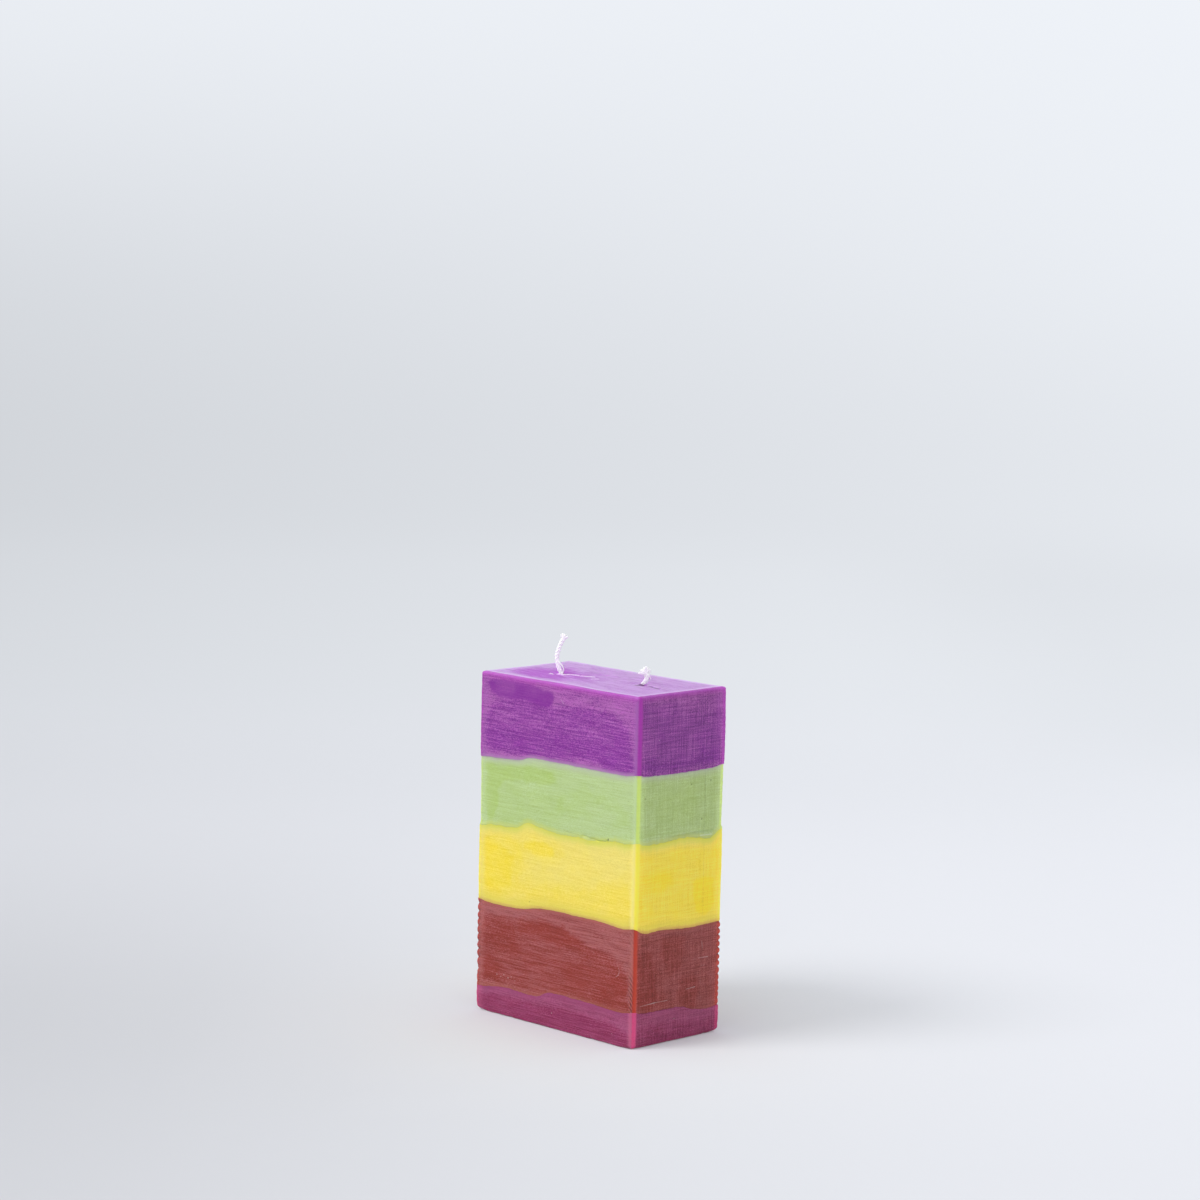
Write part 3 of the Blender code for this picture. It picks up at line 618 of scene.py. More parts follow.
class Outline:
    """The columns of a pour's grid, round the block's rounded outline from the front left.

    A column stands at a corner's centre, or between two, plus the round's radius along
    the column's own outward direction. Past the edge is the distance from the nearest
    vertical edge, less than 0 on the wide walls and more than 0 on the narrow ones. From
    left is in millimetres from the left edge of the column's wall, seen from outside.
    """

    def __init__(self, shape):
        self.shape = shape
        radius = shape.other_radius
        corners = (
            (LEFT, FRONT, radius), (RIGHT, FRONT, shape.corner_radius), (RIGHT, BACK, radius),
            (LEFT, BACK, radius),
        )
        bend = np.arange(CORNER_COLUMNS) / CORNER_COLUMNS
        columns = []
        for wall, wall_length in enumerate((shape.width, shape.depth) * 2):
            start = np.array(corners[wall])[:, None]
            end = np.array(corners[(wall + 1) % len(corners)])[:, None]
            near = NEAR_EDGE / wall_length
            along = np.concatenate((
                np.linspace(0, near, NEAR_COLUMNS, endpoint=False),
                np.linspace(near, 1 - near, int(wall_length / WALL_PITCH), endpoint=False),
                np.linspace(1 - near, 1, NEAR_COLUMNS, endpoint=False),
            ))
            columns.append(np.vstack((start + (end - start) * along, wall - 1.0 + 0 * along)))
            columns.append(np.vstack((end + 0 * bend, wall - 1.0 + bend)))
        self.side_x, self.side_y, self.radius, turn = np.concatenate(columns, axis=1)
        heading = turn * math.pi / 2
        self.out_x = np.cos(heading)
        self.out_y = np.sin(heading)
        self.narrow = self.out_x ** 2
        self.x, self.y = self.place(0.0)
        across_x = shape.width / 2 - np.abs(self.x)
        across_y = shape.depth / 2 - np.abs(self.y)
        self.from_edge = np.hypot(across_x, across_y)
        self.past_edge = across_y - across_x
        self.edge_number = (self.x < 0) * 1 + (self.y > 0) * 2
        self.wall = np.round(turn) % len(WALLS)
        half_x = np.max(np.abs(self.x))
        half_y = np.max(np.abs(self.y))
        self.from_left = np.select(
            [self.on(wall) for wall in ("front", "side", "back", "left")],
            [half_x + self.x, half_y + self.y, half_x - self.x, half_y - self.y],
        ) / MM

    def on(self, wall):
        """Which columns lie on a named wall."""
        return self.wall == WALLS[wall]

    def edge(self, name):
        """What EDGES says of the vertical edge nearest to each column."""
        return np.take(EDGES[name], self.edge_number)

    def place(self, inset):
        """Corner centre plus radius times direction, both moved in by the inset."""
        radius = np.maximum(self.radius - inset, LEAST_RADIUS)
        reach_x = self.shape.width / 2 - inset - radius
        reach_y = self.shape.depth / 2 - inset - radius
        x = self.side_x * reach_x + radius * self.out_x
        return x, self.side_y * reach_y + radius * self.out_y

    def drawn_in(self, x, y, ways):
        """Moves an outline towards the block's middle line, to each share of its way out."""
        ways = np.array(ways)[:, None]
        spine = (self.shape.width - self.shape.depth) / 2
        middle = np.clip(self.side_x * self.shape.width / 2, -spine, spine)
        return middle + ways * (x - middle), ways * y


# For the vertical edges front right, front left, back right and back left, in millimetres: the
# notches' pitch, phase, twist, place and depth; where the smooth bead starts and ends, how softly,
# and its share; the pale lip's place, reach and share; and the extra round at the foot
EDGES = {
    "notch_pitch": (1.95, 3.3, 2.6, 3.0),
    "notch_phase": (0.1, 0.4, 0.7, 0.25),
    "notch_twist": (0.9, 0.3, 0.2, 0.3),
    "notch_place": (-0.9, 0.0, 0.0, 0.0),
    "notch_depth": (1.1, 1.0, 1.3, 1.2),
    "bead_low": (0.3, -1.2, -0.9, -0.9),
    "bead_high": (2.8, 1.2, 1.6, 1.2),
    "bead_soft": (1.5, 1.0, 1.0, 1.0),
    "bead_share": (1.0, 0.4, 0.5, 0.4),
    "lip_place": (-0.45, -2.2, -1.8, -1.8),
    "lip_reach": (1.4, 1.8, 1.5, 1.5),
    "lip_share": (0.88, 0.24, 0.30, 0.30),
    "base_round": (1.2, 1.2, 1.2, 1.6),
}
NOTCH_REACH = 1.6 * MM
FULL_NOTCH = 0.75
LIP_END = 0.1
LIP_FADE = 1.2


def edge_notches(outline, z):
    """Notches between the beads down the vertical edges, from 0 to about 1.

    A notch is one less the root of the sine of the height over the edge's pitch, times a
    bell of the distance from the edge. The twist lets it run round the edge aslant.
    """
    edge_x = np.sign(outline.x) * outline.shape.width / 2
    edge_y = np.sign(outline.y) * outline.shape.depth / 2
    wander = 0.14 * plane_waves(edge_x, edge_y, z, 11 * MM, seed=21)
    strength = 0.75 + 0.35 * plane_waves(edge_x, edge_y, z, 17 * MM, seed=22)
    aslant = z + outline.edge("notch_twist") * outline.past_edge
    turn = aslant / (outline.edge("notch_pitch") * MM) + outline.edge("notch_phase") + wander
    notches = outline.edge("notch_depth") * (1 - np.sqrt(np.abs(np.sin(math.pi * turn))))
    beside = bell(outline.past_edge, outline.edge("notch_place") * MM, NOTCH_REACH)
    return notches * np.clip(strength, 0.2, 1.2) * beside


def bead_share(outline):
    """1 on the smooth bead of each vertical edge and 0 on the walls beside it."""
    low, high, soft = (outline.edge("bead_" + part) for part in ("low", "high", "soft"))
    return outline.edge("bead_share") * window(outline.past_edge / MM, low, high, soft)


def lip_share(outline):
    """1 on the pale lip that the bloom makes beside each vertical edge, on the wide walls."""
    past = outline.past_edge / MM
    lip = bell(past, outline.edge("lip_place"), outline.edge("lip_reach"))
    return outline.edge("lip_share") * lip * (1 - ease((past - LIP_END) / LIP_FADE))


def painted_edge_glow(pour, outline):
    """1, plus painted glow beside the vertical edges, each as a bell, for light through the wax;
    below 1 it is painted shade.
    """
    light = 1.0 + NARROW_PAINTED_GLOW.get(pour.name, 0.0) * outline.narrow
    for edge, past, reach, most in PAINTED_GLOWS[pour.name]:
        beside = bell(outline.past_edge, past * MM, reach * MM) * (outline.edge_number == edge)
        light = light + most * beside
    return light


# Chips in the lower edge: the wall, millimetres from its left edge, reach, and how much rounder
BASE_CHIPS = (
    ("front", 20.0, 0.9, 0.55), ("front", 36.5, 0.7, 0.4), ("front", 67.0, 1.1, 0.7),
    ("front", 52.0, 0.5, 0.25), ("side", 42.0, 1.0, 0.6), ("side", 21.0, 0.6, 0.3),
    ("back", 17.0, 1.0, 0.5), ("back", 63.0, 0.8, 0.5),
)


def base_round(outline):
    """The lower edge's round: small along the walls, larger at the corners, with chips."""
    corner = outline.edge("base_round") * bell(outline.from_edge, 0.0, 4 * MM)
    rounding = 0.8 + corner + 0.15 * plane_waves(outline.x, outline.y, 0.0, 9 * MM, seed=31)
    for wall, centre, reach, deep in BASE_CHIPS:
        rounding = rounding + deep * bell(outline.from_left, centre, reach) * outline.on(wall)
    return np.clip(rounding, 0.4, 4.0) * MM


# Grooves and ribs along a wall: the wall, where they start and end, millimetres under the top,
# half width, and how far they stand proud
GROOVES = {"green": (("side", 19.0, 45.0, 57.2, 0.5, -0.6), ("side", 36.0, 44.0, 58.8, 0.7, 0.2))}
# Nicks in a wall: the wall, millimetres from its left edge, reach, millimetres under the top,
# reach, and depth
NICKS = {
    "green": (("front", 74.0, 0.7, 59.4, 0.9, 0.8),),
    "red": (("front", 41.0, 0.8, 125.4, 0.5, 0.6),),
}
# Nicks in a vertical edge: its number, millimetres under the top, reach up, reach round, and depth
EDGE_NICKS = {"red": ((1, 123.0, 0.7, 1.6, 0.6), (0, 124.4, 0.5, 1.4, 0.6))}


def wall_relief(outline, pour, z, depth_mm, notches):
    """How far the wall stands proud: slow waves, fine ripples, the beads and the odd nick."""
    x, y = outline.x, outline.y
    past = outline.past_edge / MM
    relief = waves(x, y, z, (0.06 * MM, 24, 11), (0.022 * MM, 6, 12))
    relief += waves(0.15 * x, 0.15 * y, z, (0.010 * MM, 2.1, 13))
    creases = bell(past, -2.6, 0.7) + bell(past, 3.1, 0.6)
    relief -= 0.08 * MM * creases * (outline.edge_number == 0)
    relief += np.take(pour.swell, outline.edge_number) * MM * bell(past, 0.0, 1.5)
    relief -= pour.edge_relief * MM * notches
    for wall, start, end, middle, reach, height in GROOVES.get(pour.name, ()):
        along = window(outline.from_left, start, end, 2.0) * outline.on(wall)
        relief += height * MM * along * bell(depth_mm, middle, reach)
    for wall, centre, width, middle, reach, deep in NICKS.get(pour.name, ()):
        nick = bell(outline.from_left, centre, width) * bell(depth_mm, middle, reach)
        relief -= deep * MM * nick * outline.on(wall)
    for edge, middle, reach, width, deep in EDGE_NICKS.get(pour.name, ()):
        nick = bell(depth_mm, middle, reach) * bell(outline.from_edge, 0.0, width * MM)
        relief -= deep * MM * nick * (outline.edge_number == edge)
    if pour.name == "green":
        parted = window(outline.from_left, 60.0, 74.0, 2.0) * outline.on("front")
        line = 58.9 + 0.09 * (outline.from_left - 60.0) + 0.25 * np.sin(outline.from_left * 1.3)
        relief -= 0.7 * MM * parted * bell(depth_mm, line, 0.5)
    return relief


# The walls that repeat a visible wall's patches, mirrored
OPPOSITE = {"front": "back", "side": "left"}
EVEN_BLOOM = 0.82
CAP_BLOOM = 0.5


def bloom_map(pour, outline, depth_mm, z):
    """The bloom from 0 to 1, an even veil with patches thinned or thickened; and the polish."""
    x, y = outline.x, outline.y
    drift_x = waves(x, y, z, (0.7, 8, 41), (0.3, 3, 42))
    drift_z = waves(x, y, z, (0.35, 8, 43), (0.2, 3, 44))
    bloom = np.full(z.shape, EVEN_BLOOM)
    polish = np.zeros(z.shape)
    for patch in pour.patches:
        for wall, mirrored in ((patch.wall, False), (OPPOSITE[patch.wall], True)):
            columns = outline.on(wall)
            start = outline.from_left[columns]
            if mirrored:
                start = np.max(start) - start
            under = depth_mm[:, columns] + drift_z[:, columns]
            inside = patch.share(start + drift_x[:, columns], under)
            bloom[:, columns] += patch.amount * inside
            polish[:, columns] += patch.polish * inside
    bloom += waves(x, y, z, (0.04, 13, 45), (0.03, 4, 46))
    return np.clip(bloom, 0.0, 1.0), np.clip(polish, 0.0, 1.0)


def weld(mesh):
    """Merges the points that meet on a pour's middle line, and takes out what has no area."""
    bmesh.ops.remove_doubles(mesh, verts=mesh.verts, dist=0.002 * MM)
    bmesh.ops.dissolve_degenerate(mesh, edges=mesh.edges, dist=0.001 * MM)


def wick_places():
    """Where the wicks stand, from the frame's tabs."""
    places = {}
    for side in ("left", "right"):
        low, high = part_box(side + "_wick_tab")
        places[side] = ((low.x + high.x) / 2, (low.y + high.y) / 2)
    return places


# The crack in the top, in millimetres from the right wick
CRACK_START = (1.5, -1.0)
CRACK_END = (13.2, -3.6)

# Ridges of spilt wax on the top, in millimetres: start, end, height and half width
TOP_RIDGES = (
    ((-18.8, -4.6), (-11.4, -2.4), 0.45, 0.5), ((-9.6, -2.6), (-4.1, -0.4), 0.38, 0.5),
    ((-0.8, -5.1), (0.8, -3.0), 0.3, 0.5), ((-22.9, -7.2), (-22.2, -6.6), 0.5, 0.5),
    ((-20.6, -4.9), (-18.6, -4.3), 0.35, 0.5), ((23.2, 1.2), (33.6, -1.4), 0.36, 0.5),
    ((-12.0, 9.5), (2.0, 7.5), 0.22, 0.6), ((-24.0, 17.5), (-10.5, 11.5), 0.24, 0.6),
)

# Streaks in the top's bloom, in millimetres from the left wick: start, end, half width, amount
TOP_STREAKS = (
    ((1.4, -3.6), (-1.0, -5.2), 0.35, 0.9), ((3.5, -2.6), (11.5, -3.9), 0.35, 0.9),
    ((7.0, -5.4), (13.0, -7.0), 0.3, 0.8), ((2.6, 0.8), (14.0, 1.4), 0.4, 0.5),
    ((10.0, 7.0), (22.0, 6.0), 0.6, 0.5), ((14.0, 12.5), (21.0, 12.0), 0.4, 0.4),
    ((-2.7, -2.8), (-1.4, -1.7), 0.35, 1.2), ((4.0, -4.4), (15.0, -7.6), 0.3, 0.8),
    ((-3.9, 22.0), (10.0, 14.5), 0.9, 0.5), ((12.0, 15.5), (26.0, 10.5), 0.8, 0.4),
)


def moved(place, spot):
    """A spot given in millimetres from a place."""
    return (place[0] + spot[0] * MM, place[1] + spot[1] * MM)


def top_bloom_map(x, y):
    """Bloom on the top: thin round the left wick, thick to the right and at the rim."""
    left = wick_places()["left"]
    drift = 2.0 * MM * plane_waves(x, y, 0.0, 14 * MM, seed=62)
    across = (x + drift - left[0] - 1 * MM) / (24 * MM)
    along = (y + drift - left[1] + 3 * MM) / (17 * MM)
    bloom = 0.92 - 1.1 * ease(1.2 - np.hypot(across, along))
    bloom = bloom + 0.10 * plane_waves(0.35 * x, y, 0.0, 6 * MM, seed=61)
    x = x + 0.2 * drift
    y = y + 0.2 * drift
    for start, end, half_width, most in TOP_STREAKS:
        away, _ = segment_distance(x, y, moved(left, start), moved(left, end))
        bloom = bloom + most * bell(away, 0.0, half_width * MM)
    return np.clip(bloom, 0.0, 1.0)


def top_relief(shape, x, y):
    """The top: slow hollows, a faint rim, a collar and a pit at each wick, and the crack."""
    z = 0.10 * MM * plane_waves(x, y, 0.0, 30 * MM, seed=51)
    z += 0.035 * MM * plane_waves(0.35 * x, y, 0.0, 5 * MM, seed=52)
    z += 0.12 * MM * bell(wall_distance(shape, x, y), 1.4 * MM, 1.0 * MM)
    places = wick_places()
    for place_x, place_y in places.values():
        away = np.hypot(x - place_x, y - place_y)
        collar = 0.30 * MM * bell(away, 1.3 * MM, 0.6 * MM)
        z += collar - 0.35 * MM * bell(away, 3.2 * MM, 1.6 * MM)
    start, end = (moved(places["right"], spot) for spot in (CRACK_START, CRACK_END))
    away, reached = segment_distance(x, y, start, end)
    narrowing = 1 - 0.75 * np.clip(reached, 0.0, 1.0)
    z -= 0.75 * MM * narrowing * bell(away, 0.0, 0.45 * MM * (0.5 + narrowing))
    for start, end, height, half_width in TOP_RIDGES:
        away, _ = segment_distance(x / MM, y / MM, start, end)
        z += height * MM * bell(away, 0.0, half_width)
    return z


def wall_distance(shape, x, y):
    return np.minimum(shape.width / 2 - np.abs(x), shape.depth / 2 - np.abs(y))


def pour_wall(pour, outline, foot, head):
    """The rows of a pour's wall, from the round at its foot to the round at its head.

    Returns their x, y and z and the notches in them. The green pour's foot is drawn in only
    at the vertical edges, and the red pour's near edge has deeper notches lower down.
    """
    shape = outline.shape
    is_base = pour.foot == "base"
    foot_round = (base_round(outline) if is_base else shape.seam_round) + 0 * outline.x
    head_round = (shape.top_round if pour.head == "top" else shape.seam_round) + 0 * outline.x
    foot_z = foot.height(outline.x, outline.y)
    head_z = head.height(outline.x, outline.y)
    bend = (np.arange(ROUND_ROWS) / ROUND_ROWS * math.pi / 2)[:, None]
    head_bend = bend + bend[1]
    wall_rows = int((np.mean(head_z) - np.mean(foot_z)) / ROW_PITCH)
    climb = np.linspace(0.0, 1.0, wall_rows)[:, None]
    foot_inset = pour.foot_inset * MM
    head_inset = pour.head_inset * MM
    start_inset = foot_inset + 0 * outline.x
    if pour.name == "green":
        start_inset = 0.12 * MM + 0 * outline.x
        level_inset = 0.20 * MM
        at_edges = bell(outline.past_edge, 0.0, 5 * MM)
        foot_inset = level_inset + (foot_inset - level_inset) * at_edges
    wall_inset = foot_inset + (head_inset - foot_inset) * climb
    wall_inset = wall_inset - 0.1 * MM * np.sin(math.pi * climb)
    drawn = ease(climb * (head_z - foot_z) / (1.8 * MM))
    inset = np.concatenate((
        start_inset + foot_round * (1 - np.sin(bend)),
        start_inset + (wall_inset - start_inset) * drawn,
        head_inset + head_round * (1 - np.cos(head_bend)),
    ))
    z = np.concatenate((
        foot_z + foot_round * (1 - np.cos(bend)),
        foot_z + foot_round + (head_z - head_round - foot_z - foot_round) * climb,
        head_z - head_round * (1 - np.sin(head_bend)),
    ))
    depth_mm = (shape.height - z) / MM
    notches = edge_notches(outline, z)
    if pour.name == "red":
        deeper = 0.35 + 1.1 * ease((depth_mm - 101.0) / 12.0)
        notches = notches * np.where(outline.edge_number == 0, deeper, 1.0)
    relief = wall_relief(outline, pour, z, depth_mm, notches)
    if is_base:
        relief *= ease(z / (2 * MM))
    x, y = outline.place(inset - relief)
    return x, y, z, notches


def pour_surface(pour, outline, surfaces):
    """The whole skin of one pour as one grid.

    From its first row to its last it runs out along the foot surface, round the foot's
    edge, up the wall, round the head's edge and in along the head surface. Its attributes
    say how much of the bloom, bead and lip the material shows, how much painted glow, and
    how much painted shade lies in the notches; on the top, the lip and glow are a painted
    highlight.
    """
    shape = outline.shape
    foot, head = surfaces[pour.foot], surfaces[pour.head]
    is_top = pour.head == "top"
    wall_x, wall_y, wall_z, notches = pour_wall(pour, outline, foot, head)
    head_ways = np.linspace(1, 0, TOP_RINGS + 1)[1:] if is_top else SEAM_SHARES
    foot_x, foot_y = outline.drawn_in(wall_x[0], wall_y[0], SEAM_SHARES[::-1])
    head_x, head_y = outline.drawn_in(wall_x[-1], wall_y[-1], head_ways)
    head_z = head.height(head_x, head_y)
    if is_top:
        head_z = head_z + top_relief(shape, head_x, head_y)
    x = np.concatenate((foot_x, wall_x, head_x))
    y = np.concatenate((foot_y, wall_y, head_y))
    z = np.concatenate((foot.height(foot_x, foot_y), wall_z, head_z))

    wall = slice(len(foot_x), len(foot_x) + len(wall_x))
    on_cap = np.ones(z.shape, dtype=bool)
    on_cap[wall] = False
    notch = np.zeros(z.shape)
    notch[wall] = notches * pour.edge_relief / FULL_NOTCH
    depth_mm = (shape.height - z) / MM
    bloom, polish = bloom_map(pour, outline, depth_mm, z)
    edge = bead_share(outline) + 0 * z
    light = painted_edge_glow(pour, outline) + 0 * z
    lip = lip_share(outline) + 0 * z
    on_top = np.zeros(z.shape)
    cap_bloom = CAP_BLOOM
    if is_top:
        cap_bloom = top_bloom_map(x, y)
        upper = np.arange(len(z))[:, None] >= wall.stop
        rim = wall_distance(shape, x, y)
        # The top's colours, with their painted light, reach 1.5 mm down over the rim
        down = 0.80 * (1 - ease(depth_mm / 1.5))
        on_top = np.where(upper, 0.80 + 0.20 * ease(rim / (0.8 * MM)), down)
        # The wall's upper rim takes the edge colour: clearer wax with a painted highlight
        clear_rim_and_highlight = 0.60 * bell(depth_mm, 0.5, 1.4)
        rim_share = np.where(upper, 0.15 * bell(rim, 0.0, 0.6 * MM), clear_rim_and_highlight)
        edge = np.where(upper, rim_share, np.maximum(edge, rim_share))
        # On the top, a painted highlight along the rim: more painted glow, and the lip for its
        # colour
        light = np.where(upper, 1.0 + 0.26 * bell(rim, 0.6 * MM, 1.8 * MM), light)
        lip = np.where(upper, 0.95 * bell(rim, 0.8 * MM, 2.4 * MM), lip * ease(depth_mm / 2.5))
    attributes = {
        "bloom": np.where(on_cap, cap_bloom, bloom),
        "edge": np.where(on_cap & (on_top < 0.4), 0.0, edge),
        "light": light,
        "lip": lip,
        "narrow": np.where(on_cap, 0.0, outline.narrow),
        "notch": notch,
        "polish": polish,
        "top": on_top,
        "above_foot": (z - foot.height(x, y)) / MM,
        "below_head": (head.height(x, y) - z) / MM,
    }
    points = np.stack((x, y, z), axis=-1).reshape(-1, 3)
    piece = new_object(pour.name + "_wax", points, grid_faces(*z.shape), attributes)
    return reworked(piece, weld)


def feed(node, inputs):
    """Gives a node's inputs their wires or constants. A constant colour gets an alpha of 1."""
    for key, value in dict(inputs).items():
        socket = node.inputs[key]
        if isinstance(value, Wire):
            value.tree.links.new(value.socket, socket)
        else:
            socket.default_value = (*value, 1.0) if socket.type == "RGBA" else value


def operator_pair(operation):
    """An arithmetic operator and its reflected form, each of which adds a Math node."""

    def forward(self, other):
        return self.maths(operation, self, other)

    def reflected(self, other):
        return self.maths(operation, other, self)

    return forward, reflected


class Wire:
    """A number on its way through a material: arithmetic on it makes Math nodes."""

    def __init__(self, tree, socket):
        self.tree = tree
        self.socket = socket

    def made(self, kind, settings=(), inputs=(), output=0):
        """Adds any node, sets its properties, feeds its inputs and returns one output."""
        node = self.tree.nodes.new(kind)
        for key, value in dict(settings).items():
            setattr(node, key, value)
        feed(node, inputs)
        return Wire(self.tree, node.outputs[output])

    def maths(self, operation, *values, clamp=False):
        settings = {"operation": operation, "use_clamp": clamp}
        return self.made("ShaderNodeMath", settings, enumerate(values))

    __add__, __radd__ = operator_pair("ADD")
    __sub__, __rsub__ = operator_pair("SUBTRACT")
    __mul__, __rmul__ = operator_pair("MULTIPLY")
    __truediv__, __rtruediv__ = operator_pair("DIVIDE")

    def size(self):
        return self.maths("ABSOLUTE", self)

    def clamped(self):
        return self.maths("ADD", self, 0.0, clamp=True)

    def least(self, other):
        return self.maths("MINIMUM", self, other)

    def most(self, other):
        return self.maths("MAXIMUM", self, other)

    def eased(self, low, high):
        """A smooth step: 0 at low and 1 at high."""
        inputs = {"Value": self, "From Min": low, "From Max": high}
        return self.made("ShaderNodeMapRange", {"interpolation_type": "SMOOTHSTEP"}, inputs)

    def attribute(self, name):
        """A number that the mesh holds under a name for each of its points."""
        return self.made("ShaderNodeAttribute", {"attribute_name": name}, output=2)

    def vector(self, operation, *values, output=0):
        settings = {"operation": operation}
        return self.made("ShaderNodeVectorMath", settings, enumerate(values), output)

    def scaled(self, x, y, z):
        """A vector with each of its parts multiplied."""
        return self.vector("MULTIPLY", self, (x, y, z))

    def times(self, vector):
        """A vector multiplied by this number."""
        return self.made("ShaderNodeVectorMath", {"operation": "SCALE"}, {0: vector, 3: self})

    def noise(self, scale=1.0, detail=0.0, roughness=0.5, distortion=0.0):
        inputs = {
            "Vector": self, "Scale": scale, "Detail": detail, "Roughness": roughness,
            "Distortion": distortion,
        }
        return self.made("ShaderNodeTexNoise", inputs=inputs)

    def bump(self, distance, strength):
        """A normal bent by this height, at a distance in millimetres."""
        inputs = {"Height": self, "Distance": distance * MM, "Strength": strength}
        return self.made("ShaderNodeBump", inputs=inputs)

    def mixed(self, start, end, blend="MIX", factor=None):
        """A colour between two, by this share, or the first with the second blended in."""
        settings = {"data_type": "RGBA", "blend_type": blend}
        inputs = {0: self if factor is None else factor, 6: start, 7: end}
        return self.made("ShaderNodeMix", settings, inputs, output=2)

    def shaded(self, tint):
        """A colour made lighter or darker by this factor."""
        grey = self.made("ShaderNodeCombineColor", inputs={0: self, 1: self, 2: self})
        return self.mixed(tint, grey, "MULTIPLY", factor=1.0)


def new_material(name):
    """A material with its shader, and the object's own coordinates in millimetres."""
    material = bpy.data.materials.new(name)
    material.use_nodes = True
    place = Wire(material.node_tree, None).made("ShaderNodeTexCoord", output=3)
    per_mm = 1 / MM
    return material, material.node_tree.nodes["Principled BSDF"], place.scaled(*[per_mm] * 3)


def dimmed(tint, factor, lift=0.0):
    """A colour with each of its parts multiplied and lifted."""
    return tuple(lift + factor * part for part in tint)


def stroke_distance(place, start, end):
    """Distance in millimetres to a straight scratch: the place less its nearest point on it."""
    start = Vector(start)
    run = Vector(end) - start
    offset = place.vector("SUBTRACT", place, tuple(start))
    reached = place.vector("DOT_PRODUCT", offset, tuple(run), output=1) / run.length_squared
    return place.vector("DISTANCE", offset, reached.clamped().times(tuple(run)), output=1)


def wall_point(shape, wall, from_left, under_top):
    """A point in millimetres from its place on a wall; on the top from x and y, with no height."""
    half_x = shape.width / 2 / MM
    half_y = shape.depth / 2 / MM
    z = shape.height / MM - under_top
    return {
        "top": (from_left, under_top, 0.0),
        "front": (from_left - half_x, -half_y, z),
        "side": (half_x, from_left - half_y, z),
        "back": (half_x - from_left, half_y, z),
        "left": (-half_x, half_y - from_left, z),
    }[wall]


# Small round marks and straight ones, by wall: the wall, a place on it or a start and an end, and
# the radius or half width. Pinholes are pits darkened with painted shade, scratches and specks
# pale, and cracks dark lines of painted shade where the wax has parted
PINHOLES = {
    "green": (
        ("side", 5.2, 40.5, 0.42), ("side", 10.0, 38.2, 0.25), ("side", 31.0, 37.4, 0.45),
        ("side", 42.0, 37.0, 0.5), ("side", 37.2, 52.0, 0.5), ("side", 21.5, 57.4, 0.5),
        ("side", 20.3, 43.4, 0.3), ("front", 55.0, 36.2, 0.3), ("front", 77.0, 34.8, 0.28),
        ("front", 85.5, 41.5, 0.35), ("front", 86.5, 38.0, 0.25), ("back", 30.0, 48.0, 0.4),
        ("back", 61.0, 40.0, 0.35), ("left", 18.0, 45.0, 0.4),
    ),
    "red": (("front", 41.0, 125.2, 0.6), ("side", 28.4, 116.8, 0.4), ("side", 14.0, 101.5, 0.3)),
    "yellow": (("front", 30.5, 90.4, 0.3),),
    "purple": (("side", 31.0, 5.8, 0.28), ("front", 28.0, 21.8, 0.25)),
    "plum": (("front", 12.0, 134.5, 0.3),),
}

SCRATCHES = {
    "red": (
        ("side", (30.6, 108.6), (35.5, 108.4), 0.22), ("side", (37.0, 108.3), (42.5, 108.5), 0.2),
        ("side", (30.0, 116.0), (34.0, 110.6), 0.12), ("side", (30.6, 120.1), (35.6, 119.8), 0.26),
        ("side", (5.0, 123.3), (13.0, 122.9), 0.28), ("side", (13.0, 122.9), (20.0, 123.0), 0.22),
        ("side", (29.0, 104.2), (33.4, 104.0), 0.14), ("side", (36.4, 112.0), (41.0, 111.6), 0.16),
        ("side", (31.4, 113.6), (36.8, 113.2), 0.14), ("side", (38.8, 101.6), (39.6, 107.0), 0.12),
        ("side", (33.0, 106.0), (33.6, 113.0), 0.12), ("side", (36.0, 117.0), (41.4, 116.6), 0.14),
        ("front", (81.5, 107.4), (82.6, 109.4), 0.14),
        ("front", (82.6, 109.4), (82.2, 111.2), 0.14),
        ("front", (82.2, 111.2), (80.8, 112.2), 0.14), ("back", (22.0, 108.0), (33.0, 106.4), 0.2),
    ),
    "purple": (
        ("front", (45.0, 5.2), (48.0, 7.4), 0.12), ("front", (46.9, 5.4), (45.6, 7.0), 0.1),
        ("top", (-22.9, -7.2), (-22.2, -6.6), 0.8), ("top", (-18.8, -4.6), (-11.4, -2.4), 0.75),
        ("top", (-9.6, -2.6), (-4.1, -0.4), 0.6), ("top", (-0.8, -5.1), (0.8, -3.0), 0.6),
        # The last top scratch is a painted highlight on the ridge beside the crack
        ("top", (-20.6, -4.9), (-18.6, -4.3), 0.8), ("top", (26.0, 0.9), (33.0, -0.9), 0.32),
    ),
    "green": (
        ("front", (62.0, 33.2), (69.0, 33.6), 0.1), ("side", (36.5, 58.6), (43.0, 58.8), 0.28),
    ),
}

SPECKS = {
    "red": (
        ("front", 11.8, 123.6, 0.5), ("front", 14.2, 124.1, 0.42), ("front", 16.0, 123.0, 0.42),
        ("front", 18.5, 123.9, 0.5), ("front", 20.4, 123.2, 0.4), ("front", 22.6, 124.4, 0.36),
        ("front", 25.2, 123.6, 0.34), ("front", 51.0, 119.8, 0.3), ("front", 68.0, 104.8, 0.26),
        ("side", 36.6, 108.0, 0.2), ("side", 24.0, 103.0, 0.22),
    ),
    "plum": (
        ("front", 44.6, 133.6, 0.34), ("front", 79.0, 135.4, 0.26), ("side", 24.0, 131.0, 0.24),
    ),
    "purple": (("front", 33.2, 28.0, 0.26), ("side", 12.0, 18.0, 0.22)),
    "yellow": (("front", 49.0, 70.0, 0.22),),
}

